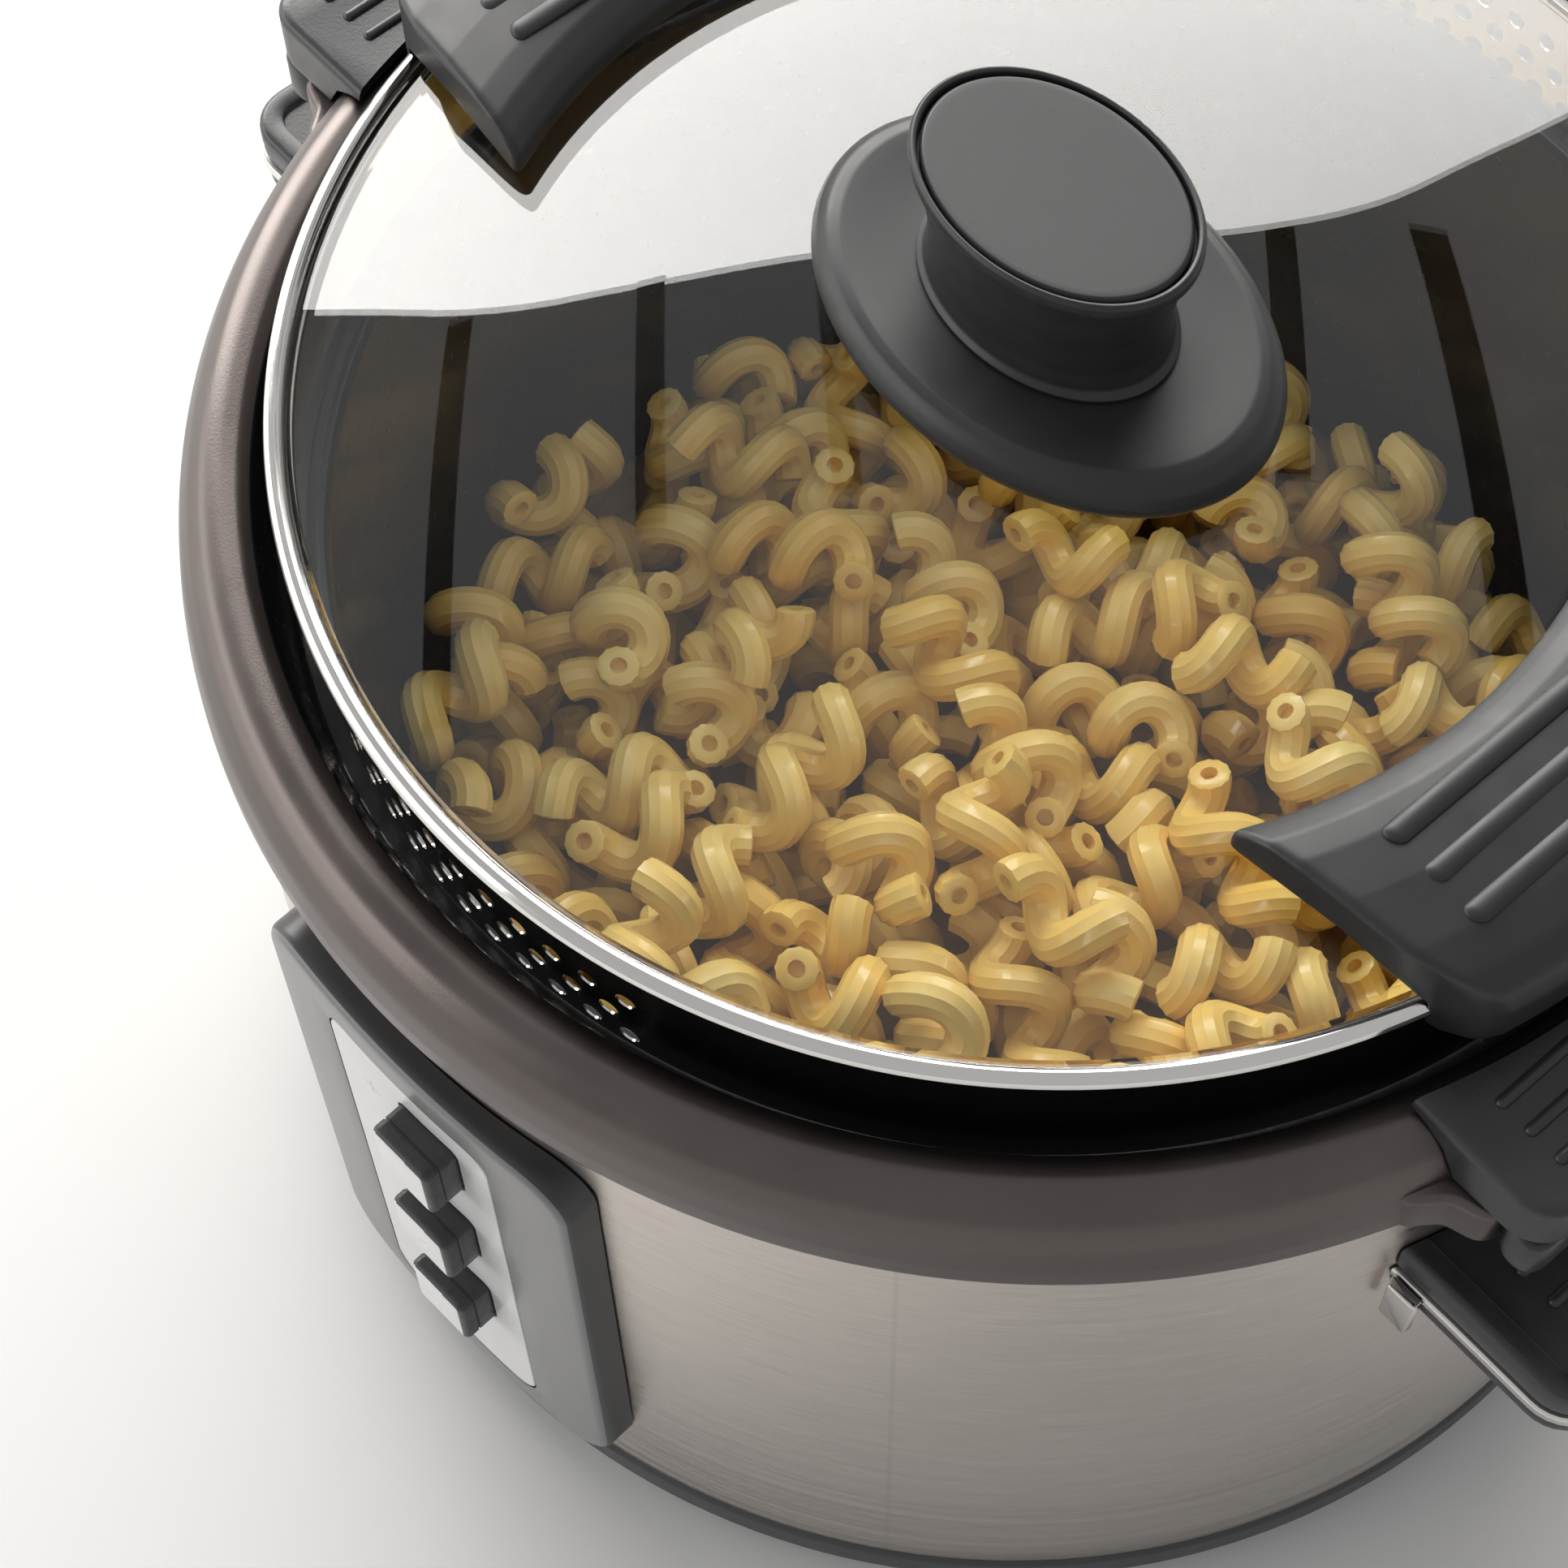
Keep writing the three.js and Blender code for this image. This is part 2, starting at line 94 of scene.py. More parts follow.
BUTTON_W = 13.0
BUTTON_H = 15.0
BUTTON_X = 5.0
BUTTON_Z = (132.0, 103.0, 74.0)
BUTTON_FRONT = 145.0
BUTTON_BACK = 137.2
INLET_W = 40.0
INLET_BOTTOM = 30.0
INLET_TOP = 66.0
INLET_OUT = 144.85
HEAP_R = 108.0
HEAP_Z = 90.0
HEAP_CROWN = 14.0
HEAP_TILT = 0.2
CORE_DROP = 31.0
PASTA_TUBE_R = 3.5
PLACES_TRIED = 28        # spots each tube is held over before it takes the lowest
PASTA_COUNT = 236
PASTA_KINDS = 14
HEAP_EDGE = 105.2        # how near the wall a tube's middle line may come
DROP_R = 103
GRID_CELL = 1.5
WINDOW_TURN = 53.0       # degrees from straight behind
SIDE_LIGHT_TURN = 132.0
LOWER_COUNT = 118        # of them, those in the lower layers


# ---- Node helpers ---------------------------------------------------------------------
def put(tree, kind, inputs=None, **settings):
    """One node with its settings; an input given as a socket is linked."""
    node = tree.nodes.new(kind)
    for key, value in settings.items():
        setattr(node, key, value)
    for key, value in (inputs or {}).items():
        if isinstance(value, bpy.types.NodeSocket):
            tree.links.new(value, node.inputs[key])
        else:
            node.inputs[key].default_value = value
    return node


def maths(tree, operation, a, b=0.0):
    node = put(tree, "ShaderNodeMath", {0: a, 1: b}, operation=operation)
    return node.outputs[0]


def blend_colours(tree, share, first, second):
    node = put(tree, "ShaderNodeMix", data_type="RGBA")
    for index, value in ((0, share), (6, first), (7, second)):
        if isinstance(value, bpy.types.NodeSocket):
            tree.links.new(value, node.inputs[index])
        else:
            node.inputs[index].default_value = value
    return node.outputs[2]


def steps(tree, value, stops, interpolation="LINEAR"):
    """Colour ramp with [place, colour] stops."""
    node = put(tree, "ShaderNodeValToRGB", {0: value})
    node.color_ramp.interpolation = interpolation
    while len(node.color_ramp.elements) < len(stops):
        node.color_ramp.elements.new(0.5)
    for element, (place, colour) in zip(node.color_ramp.elements, stops):
        element.position = place
        element.color = colour if len(colour) == 4 else (*colour, 1)
    return node.outputs[0]


def effect(name, inputs, outputs):
    """An empty shader node group with named sockets."""
    group = bpy.data.node_groups.new(name, "ShaderNodeTree")
    for label, kind, value in inputs:
        socket = group.interface.new_socket(name=label, in_out="INPUT", socket_type=kind)
        if value is not None:
            socket.default_value = value
    for label, kind in outputs:
        group.interface.new_socket(name=label, in_out="OUTPUT", socket_type=kind)
    entry = group.nodes.new("NodeGroupInput")
    leave = group.nodes.new("NodeGroupOutput")
    return group, entry, leave


# ---- Shared effects -------------------------------------------------------------------
def make_fine_grain():
    """Moulded or sprayed grain: fine height, and a mask of soft blotches."""
    group, entry, leave = effect(
        "fine_grain",
        [("Vector", "NodeSocketVector", None), ("Scale", "NodeSocketFloat", 2500.0),
         ("Patches", "NodeSocketFloat", 60.0)],
        [("Height", "NodeSocketFloat"), ("Patches", "NodeSocketFloat")],
    )
    fine = put(group, "ShaderNodeTexNoise", {"Vector": entry.outputs["Vector"],
               "Scale": entry.outputs["Scale"], "Detail": 2.0, "Roughness": 0.55})
    soft = put(group, "ShaderNodeTexNoise", {"Vector": entry.outputs["Vector"],
               "Scale": entry.outputs["Patches"], "Detail": 4.0, "Roughness": 0.6})
    group.links.new(fine.outputs[0], leave.inputs["Height"])
    group.links.new(soft.outputs[0], leave.inputs["Patches"])
    return group


def make_brushed_lines():
    """Fine scratches that run round the upright axis."""
    group, entry, leave = effect(
        "brushed_lines",
        [("Vector", "NodeSocketVector", None), ("Lines", "NodeSocketFloat", 2400.0)],
        [("Height", "NodeSocketFloat"), ("Streaks", "NodeSocketFloat")],
    )
    parts = put(group, "ShaderNodeSeparateXYZ", {0: entry.outputs["Vector"]})
    stretched = put(group, "ShaderNodeCombineXYZ", {
        0: maths(group, "MULTIPLY", parts.outputs[0], 30.0),
        1: maths(group, "MULTIPLY", parts.outputs[1], 30.0),
        2: maths(group, "MULTIPLY", parts.outputs[2], entry.outputs["Lines"])})
    lines = put(group, "ShaderNodeTexNoise", {"Vector": stretched.outputs[0],
                "Scale": 3.0, "Detail": 5.0, "Roughness": 0.7})
    broad = put(group, "ShaderNodeTexNoise", {"Vector": stretched.outputs[0],
                "Scale": 0.25, "Detail": 2.0, "Roughness": 0.5})
    group.links.new(lines.outputs[0], leave.inputs["Height"])
    group.links.new(broad.outputs[0], leave.inputs["Streaks"])
    return group


FINE_GRAIN = make_fine_grain()
BRUSHED_LINES = make_brushed_lines()


# ---- Materials ------------------------------------------------------------------------
def finish(name, base, roughness, metallic=0.0, **constants):
    """A named material; constants are set on the shader's own sockets."""
    material = bpy.data.materials.new(name)
    material.use_nodes = True
    tree = material.node_tree
    shader = tree.nodes["Principled BSDF"]
    shader.inputs["Base Color"].default_value = (*base, 1)
    shader.inputs["Roughness"].default_value = roughness
    shader.inputs["Metallic"].default_value = metallic
    for key, value in constants.items():
        shader.inputs[key.replace("_", " ")].default_value = value
    return material, tree, shader


def grained(name, base, roughness, metallic=0.0, grain=2500.0, patches=60.0, bump=0.25,
            depth=0.00004, shade=0.25, spread=0.12, **constants):
    """Plastic or paint with a fine grain, soft blotches of shade and of gloss."""
    material, tree, shader = finish(name, base, roughness, metallic, **constants)
    place = put(tree, "ShaderNodeTexCoord")
    wear = put(tree, "ShaderNodeGroup", node_tree=FINE_GRAIN)
    tree.links.new(place.outputs["Object"], wear.inputs["Vector"])
    wear.inputs["Scale"].default_value = grain
    wear.inputs["Patches"].default_value = patches
    low = [c * (1 - shade) for c in base]
    high = [min(c * (1 + shade), 1) for c in base]
    shades = blend_colours(tree, wear.outputs["Patches"], (*low, 1), (*high, 1))
    tree.links.new(shades, shader.inputs["Base Color"])
    gloss = put(tree, "ShaderNodeMapRange", {
        "Value": wear.outputs["Patches"], "From Min": 0.3, "From Max": 0.7,
        "To Min": max(roughness - spread, 0.02), "To Max": min(roughness + spread, 1.0)})
    tree.links.new(gloss.outputs[0], shader.inputs["Roughness"])
    relief = put(tree, "ShaderNodeBump", {"Height": wear.outputs["Height"],
                 "Strength": bump, "Distance": depth})
    tree.links.new(relief.outputs[0], shader.inputs["Normal"])
    return material


def make_brushed_steel():
    material, tree, shader = finish("brushed_steel", (0.6, 0.56, 0.52), 0.34, 1.0)
    place = put(tree, "ShaderNodeTexCoord")
    brush = put(tree, "ShaderNodeGroup", node_tree=BRUSHED_LINES)
    tree.links.new(place.outputs["Object"], brush.inputs["Vector"])
    shades = steps(tree, brush.outputs["Height"], [
        (0.3, (0.52, 0.47, 0.43)), (0.5, (0.63, 0.575, 0.53)), (0.7, (0.74, 0.69, 0.64))])
    parts = put(tree, "ShaderNodeSeparateXYZ", {0: place.outputs["Object"]})
    turn = maths(tree, "ARCTAN2", parts.outputs[0], maths(tree, "MULTIPLY", parts.outputs[1], -1.0))
    away = maths(tree, "ABSOLUTE", maths(tree, "SUBTRACT", turn, 0.676))
    seam = maths(tree, "LESS_THAN", away, 0.003)
    seamed = blend_colours(tree, maths(tree, "MULTIPLY", seam, 0.14), shades, (0.3, 0.27, 0.25, 1))
    tree.links.new(seamed, shader.inputs["Base Color"])
    gloss = put(tree, "ShaderNodeMapRange", {
        "Value": brush.outputs["Streaks"], "From Min": 0.3, "From Max": 0.7,
        "To Min": 0.28, "To Max": 0.4})
    tree.links.new(gloss.outputs[0], shader.inputs["Roughness"])
    relief = put(tree, "ShaderNodeBump", {"Height": brush.outputs["Height"],
                 "Strength": 0.35, "Distance": 0.00003})
    tree.links.new(relief.outputs[0], shader.inputs["Normal"])
    return material


def make_polished_steel():
    material, tree, shader = finish("polished_steel", (0.78, 0.76, 0.73), 0.1, 1.0)
    place = put(tree, "ShaderNodeTexCoord")
    brush = put(tree, "ShaderNodeGroup", node_tree=BRUSHED_LINES)
    tree.links.new(place.outputs["Object"], brush.inputs["Vector"])
    shades = blend_colours(tree, brush.outputs["Streaks"], (0.7, 0.68, 0.65, 1), (0.86, 0.84, 0.81, 1))
    tree.links.new(shades, shader.inputs["Base Color"])
    gloss = put(tree, "ShaderNodeMapRange", {
        "Value": brush.outputs["Height"], "From Min": 0.3, "From Max": 0.7,
        "To Min": 0.07, "To Max": 0.18})
    tree.links.new(gloss.outputs[0], shader.inputs["Roughness"])
    relief = put(tree, "ShaderNodeBump", {"Height": brush.outputs["Height"],
                 "Strength": 0.08, "Distance": 0.00001})
    tree.links.new(relief.outputs[0], shader.inputs["Normal"])
    return material


def make_clear_glass():
    """Clear lid glass; lamps shine through it as they do through a real lid."""
    material, tree, shader = finish("clear_glass", (0.97, 0.985, 0.98), 0.0, 0.0,
                                    IOR=1.5, Transmission_Weight=1.0)
    place = put(tree, "ShaderNodeTexCoord")
    film = put(tree, "ShaderNodeTexNoise", {"Vector": place.outputs["Object"],
               "Scale": 9.0, "Detail": 3.0, "Roughness": 0.5})
    gloss = put(tree, "ShaderNodeMapRange", {
        "Value": film.outputs[0], "From Min": 0.3, "From Max": 0.7,
        "To Min": 0.0, "To Max": 0.012})
    tree.links.new(gloss.outputs[0], shader.inputs["Roughness"])
    tint = blend_colours(tree, film.outputs[0], (0.96, 0.975, 0.97, 1), (0.985, 0.99, 0.985, 1))
    tree.links.new(tint, shader.inputs["Base Color"])
    open_air = put(tree, "ShaderNodeBsdfTransparent")
    open_air.inputs[0].default_value = (0.9, 0.91, 0.9, 1)
    path = put(tree, "ShaderNodeLightPath")
    mixed = put(tree, "ShaderNodeMixShader", {
        0: path.outputs["Is Shadow Ray"], 1: shader.outputs[0], 2: open_air.outputs[0]})
    tree.links.new(mixed.outputs[0], tree.nodes["Material Output"].inputs["Surface"])
    return material


def make_cooked_pasta():
    """Moist durum pasta: pale gold with soft clouds of deeper gold, each tube a little different."""
    material, tree, shader = finish(
        "cooked_pasta", (0.85, 0.6, 0.18), 0.32, 0.0, Subsurface_Weight=0.15,
        Subsurface_Scale=0.004, Coat_Weight=0.45, Coat_Roughness=0.13)
    shader.inputs["Subsurface Radius"].default_value = (1.0, 0.62, 0.22)
    place = put(tree, "ShaderNodeTexCoord")
    tint = put(tree, "ShaderNodeAttribute", attribute_name="tint")
    cloud = put(tree, "ShaderNodeTexNoise", {"Vector": place.outputs["Object"],
                "Scale": 90.0, "Detail": 4.0, "Roughness": 0.6})
    pale = blend_colours(tree, cloud.outputs[0], (0.94, 0.65, 0.18, 1), (0.98, 0.76, 0.3, 1))
    gold = blend_colours(tree, cloud.outputs[0], (0.92, 0.57, 0.11, 1), (0.96, 0.67, 0.19, 1))
    shades = blend_colours(tree, tint.outputs["Fac"], gold, pale)
    tree.links.new(shades, shader.inputs["Base Color"])
    gloss = put(tree, "ShaderNodeMapRange", {
        "Value": cloud.outputs[0], "From Min": 0.3, "From Max": 0.7,
        "To Min": 0.28, "To Max": 0.46})
    tree.links.new(gloss.outputs[0], shader.inputs["Roughness"])
    starch = put(tree, "ShaderNodeTexNoise", {"Vector": place.outputs["Object"],
                 "Scale": 700.0, "Detail": 3.0, "Roughness": 0.6})
    relief = put(tree, "ShaderNodeBump", {"Height": starch.outputs[0],
                 "Strength": 0.18, "Distance": 0.0002})
    tree.links.new(relief.outputs[0], shader.inputs["Normal"])
    return material


def make_deep_pasta_painted_shade():
    """The pasta lower in the pot, seen only through the gaps; its colour is painted shade, darker than
    the loose tubes and near black in the creases between the lumps.
    """
    material, tree, shader = finish("deep_pasta_painted_shade", (0.4, 0.23, 0.06), 0.5)
    place = put(tree, "ShaderNodeTexCoord")
    lumps = put(tree, "ShaderNodeTexVoronoi", {"Vector": place.outputs["Object"],
                "Scale": 95.0, "Randomness": 1.0})
    # Painted shade: brown that fades to near black toward the edge of each lump, where the creases
    # between tubes lie in shadow.
    shades = steps(tree, lumps.outputs["Distance"], [
        (0.0, (0.5, 0.3, 0.09)), (0.6, (0.3, 0.16, 0.045)), (1.0, (0.07, 0.035, 0.012))])
    tree.links.new(shades, shader.inputs["Base Color"])
    relief = put(tree, "ShaderNodeBump", {"Height": lumps.outputs["Distance"],
                 "Strength": 0.8, "Distance": 0.004}, invert=True)
    tree.links.new(relief.outputs[0], shader.inputs["Normal"])
    return material


def make_inset_film():
    """Printed film behind the buttons: light satin with plain generic marks."""
    material, tree, shader = finish("panel_film", (0.66, 0.66, 0.66), 0.28)
    place = put(tree, "ShaderNodeTexCoord")
    turned_back = put(tree, "ShaderNodeMapping", {"Vector": place.outputs["Object"],
                      "Rotation": (0, 0, -PANEL_TURN)})
    parts = put(tree, "ShaderNodeSeparateXYZ", {0: turned_back.outputs[0]})
    wear = put(tree, "ShaderNodeGroup", node_tree=FINE_GRAIN)
    tree.links.new(place.outputs["Object"], wear.inputs["Vector"])
    wear.inputs["Patches"].default_value = 40.0
    plain = blend_colours(tree, wear.outputs["Patches"], (0.58, 0.58, 0.585, 1), (0.72, 0.72, 0.715, 1))
    marks = None
    for z in BUTTON_Z:
        for side, width, height in ((-9.5, 2.2, 0.45), (-9.5, 0.45, 2.2)):
            across = maths(tree, "ABSOLUTE", maths(tree, "SUBTRACT", parts.outputs[0], side * MM))
            rise = maths(tree, "ABSOLUTE", maths(tree, "SUBTRACT", parts.outputs[2], z * MM))
            bar = maths(tree, "MULTIPLY", maths(tree, "LESS_THAN", across, width * MM),
                        maths(tree, "LESS_THAN", rise, height * MM))
            marks = bar if marks is None else maths(tree, "MAXIMUM", marks, bar)
    printed = blend_colours(tree, maths(tree, "MULTIPLY", marks, 0.5), plain, (0.4, 0.4, 0.41, 1))
    tree.links.new(printed, shader.inputs["Base Color"])
    relief = put(tree, "ShaderNodeBump", {"Height": wear.outputs["Height"],
                 "Strength": 0.1, "Distance": 0.00002})
    tree.links.new(relief.outputs[0], shader.inputs["Normal"])
    return material


RUBBER = grained("foot_rubber", (0.02, 0.02, 0.02), 0.85, grain=1500, bump=0.5)
BASE_PLASTIC = grained("base_plastic", (0.055, 0.055, 0.056), 0.5, grain=2200, bump=0.3)
STEEL = make_brushed_steel()
POLISHED = make_polished_steel()
# Painted reflection: a near-black copy of the polished steel for the skirt's outside and the rim's
# lower edge, which mirror the dark non-stick and the gap beside them.
STEEL_PAINTED_DARK_REFLECTION = grained("steel_painted_dark_reflection", (0.03, 0.029, 0.028), 0.22, 0.8, grain=1800, patches=200,
                     bump=0.2, spread=0.05)
COLLAR_PAINT = grained("collar_paint", (0.13, 0.112, 0.106), 0.34, 0.92, grain=2300,
                       patches=45, bump=0.4, depth=0.00005, shade=0.15, spread=0.05)
NON_STICK = grained("non_stick", (0.012, 0.012, 0.0125), 0.24, grain=1600, patches=300,
                    bump=0.12, depth=0.00004, spread=0.05, Coat_Weight=0.3, Coat_Roughness=0.12)
HEATER_LINING = grained("heater_lining", (0.2, 0.19, 0.18), 0.5, 0.6, grain=900, bump=0.2)
SOFT_TOUCH = grained("soft_touch", (0.018, 0.018, 0.019), 0.42, grain=2600, patches=120,
                     bump=0.22, depth=0.00004, shade=0.1, spread=0.05)
HANDLE_PLASTIC = grained("handle_plastic", (0.026, 0.026, 0.028), 0.33, grain=1500,
                         patches=150, bump=0.4, depth=0.00006, shade=0.15, spread=0.06)
PANEL_PLASTIC = grained("panel_plastic", (0.17, 0.17, 0.172), 0.32, grain=1900, patches=30,
                        bump=0.12, depth=0.00002, shade=0.06, spread=0.02)
# Painted shade: a much darker copy of the panel plastic, put on the panel's sides and top where shadow
# under the collar falls.
PANEL_SIDES_PAINTED_SHADE = grained("panel_sides_painted_shade", (0.035, 0.035, 0.036), 0.36, grain=1900, patches=30,
                     bump=0.15, depth=0.00002, shade=0.1, spread=0.02)
BUTTON_PLASTIC = grained("button_plastic", (0.03, 0.03, 0.031), 0.4, grain=900, patches=400,
                         bump=0.6, depth=0.00012, shade=0.15, spread=0.08)
# Painted reflection: a near-white copy of the dark button plastic, put on the buttons' front faces
# where they mirror the bright room.
BUTTON_FACE_PAINTED_SHEEN = grained("button_face_painted_sheen", (0.7, 0.7, 0.705), 0.3, grain=1900, patches=40,
                      bump=0.15, depth=0.00003, shade=0.08, spread=0.03)
GLASS = make_clear_glass()
PASTA = make_cooked_pasta()
DEEP_PASTA_PAINTED_SHADE = make_deep_pasta_painted_shade()
PANEL_FILM = make_inset_film()


# ---- Shape helpers --------------------------------------------------------------------
def soften(outline, radius, count=4, closed=True):
    """The outline with its corners rounded off; radius may be one number or one per corner."""
    made = []
    size = len(outline)
    for i, corner in enumerate(outline):
        r = radius[i] if isinstance(radius, (list, tuple)) else radius
        ends = not closed and i in (0, size - 1)
        if ends or r <= 0:
            made.append(tuple(corner))
            continue
        here = Vector(corner)
        back = Vector(outline[i - 1]) - here
        ahead = Vector(outline[(i + 1) % size]) - here
        turn = math.pi - back.angle(ahead)
        if turn < math.radians(4):
            made.append(tuple(corner))
            continue
        reach = min(r * math.tan(turn / 2), 0.45 * back.length, 0.45 * ahead.length)
        start = here + back.normalized() * reach
        end = here + ahead.normalized() * reach
        for k in range(count + 1):
            t = k / count
            point = start * (1 - t) ** 2 + here * 2 * t * (1 - t) + end * t * t
            made.append(tuple(point))
    return made


def rounded_rect(x0, y0, x1, y1, radius, count=6, sides=6):
    """Rounded rectangle with points along its sides as well, anticlockwise."""
    made = []
    corners = ((x1 - radius, y0 + radius, -90), (x1 - radius, y1 - radius, 0),
               (x0 + radius, y1 - radius, 90), (x0 + radius, y0 + radius, 180))
    for i, (cx, cy, start) in enumerate(corners):
        for k in range(count + 1):
            turn = math.radians(start + 90 * k / count)
            made.append((cx + radius * math.cos(turn), cy + radius * math.sin(turn)))
        nx, ny, following = corners[(i + 1) % 4]
        turn = math.radians(following)
        goal = (nx + radius * math.cos(turn), ny + radius * math.sin(turn))
        last = made[-1]
        for k in range(1, sides):
            t = k / sides
            made.append((last[0] + (goal[0] - last[0]) * t, last[1] + (goal[1] - last[1]) * t))
    return made


def piece(name, vertices, faces, materials, pick=None, sharp=35.0):
    """A named mesh object in metres from millimetre vertices; pick chooses a face's material."""
    mesh = bpy.data.meshes.new(name)
    mesh.from_pydata([(x * MM, y * MM, z * MM) for x, y, z in vertices], [], faces)
    mesh.validate()
    shape = bmesh.new()
    shape.from_mesh(mesh)
    bmesh.ops.remove_doubles(shape, verts=shape.verts, dist=1e-7)
    bmesh.ops.recalc_face_normals(shape, faces=shape.faces)
    shape.to_mesh(mesh)
    shape.free()
    for material in materials:
        mesh.materials.append(material)
    if pick:
        for face in mesh.polygons:
            face.material_index = pick(face.center / MM, face.normal)
    mesh.shade_smooth()
    mesh.set_sharp_from_angle(angle=math.radians(sharp))
    made = bpy.data.objects.new(name, mesh)
    bpy.context.scene.collection.objects.link(made)
    return made


def loft(rings, close_first=True, close_last=True, wrap=False):
    """Vertices and faces through equal closed rings of points."""
    count = len(rings[0])
    vertices = [point for ring in rings for point in ring]
    faces = []
    last = len(rings) if wrap else len(rings) - 1
    for j in range(last):
        low, high = j * count, ((j + 1) % len(rings)) * count
        for i in range(count):
            k = (i + 1) % count
            faces.append((low + i, low + k, high + k, high + i))
    if close_first and not wrap:
        faces.append(tuple(range(count - 1, -1, -1)))
    if close_last and not wrap:
        start = (len(rings) - 1) * count
        faces.append(tuple(range(start, start + count)))
    return vertices, faces


def turned(name, outline, materials, pick=None, sides=ROUND, ratio=1.0, sharp=35.0):
    """Closed [radius, height] outline turned about the upright axis, oval if ratio isn't 1."""
    rings = []
    for i in range(sides):
        turn = 2 * math.pi * i / sides
        c, s = math.cos(turn), math.sin(turn) * ratio
        rings.append([(r * c, r * s, z) for r, z in outline])
    vertices, faces = loft(rings, wrap=True)
    return piece(name, vertices, faces, materials, pick, sharp)


def inset_outline(outline, distance):
    """The closed outline moved inwards by distance."""
    made = []
    size = len(outline)
    area = sum(outline[i - 1][0] * outline[i][1] - outline[i][0] * outline[i - 1][1]
               for i in range(size))
    side = 1 if area > 0 else -1
    for i in range(size):
        before = Vector(outline[i - 1])
        after = Vector(outline[(i + 1) % size])
        run = (after - before).normalized()
        normal = Vector((-run.y, run.x)) * side
        point = Vector(outline[i]) + normal * distance
        made.append((point.x, point.y))
    return made


def round_profile(low, high, edge, count=4):
    """[inset, height] steps of a slab's side with both edges rounded."""
    made = []
    for k in range(count + 1):
        turn = math.pi / 2 * k / count
        made.append((edge * (1 - math.sin(turn)), low + edge * (1 - math.cos(turn))))
    for k in range(count + 1):
        turn = math.pi / 2 * (1 - k / count)
        made.append((edge * (1 - math.sin(turn)), high - edge * (1 - math.cos(turn))))
    return made


def half_turn(obj, name):
    """A copy of the piece turned half a turn about the upright axis."""
    mesh = obj.data.copy()
    mesh.name = name
    mesh.transform(Matrix.Rotation(math.pi, 4, "Z"))
    made = bpy.data.objects.new(name, mesh)
    bpy.context.scene.collection.objects.link(made)
    return made


def joined(first, *others):
    """The pieces as one mesh, under the first one's name."""
    with bpy.context.temp_override(active_object=first, object=first,
                                   selected_editable_objects=[first, *others],
                                   selected_objects=[first, *others]):
        bpy.ops.object.join()
    return first


def settle_piece(obj, body, slot_name, *nodes):
    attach(obj, body)
    if nodes:
        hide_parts(*nodes)
    return obj


# ---- Geometry Nodes helpers -----------------------------------------------------------
def node_tree(name, inputs):
    tree = bpy.data.node_groups.new(name, "GeometryNodeTree")
    tree.interface.new_socket(name="Geometry", in_out="INPUT", socket_type="NodeSocketGeometry")
    sockets = {}
    for label, kind, value in inputs:
        socket = tree.interface.new_socket(name=label, in_out="INPUT", socket_type=kind)
        if value is not None:
            socket.default_value = value
        sockets[label] = socket.identifier
    tree.interface.new_socket(name="Geometry", in_out="OUTPUT", socket_type="NodeSocketGeometry")
    entry = tree.nodes.new("NodeGroupInput")
    leave = tree.nodes.new("NodeGroupOutput")
    return tree, sockets, entry, leave


def grown(name, tree, sockets, values, start=None):
    """Runs the tree on an object and returns the result as a plain mesh object."""
    host = start
    if host is None:
        host = bpy.data.objects.new(name + "_host", bpy.data.meshes.new(name + "_host"))
        bpy.context.scene.collection.objects.link(host)
    modifier = host.modifiers.new("build", "NODES")
    modifier.node_group = tree
    for label, value in values.items():
        modifier[sockets[label]] = value
    bpy.context.view_layer.update()
    graph = bpy.context.evaluated_depsgraph_get()
    mesh = bpy.data.meshes.new_from_object(host.evaluated_get(graph))
    mesh.name = name
    host.modifiers.remove(modifier)
    bpy.data.objects.remove(host)
    made = bpy.data.objects.new(name, mesh)
    bpy.context.scene.collection.objects.link(made)
    return made


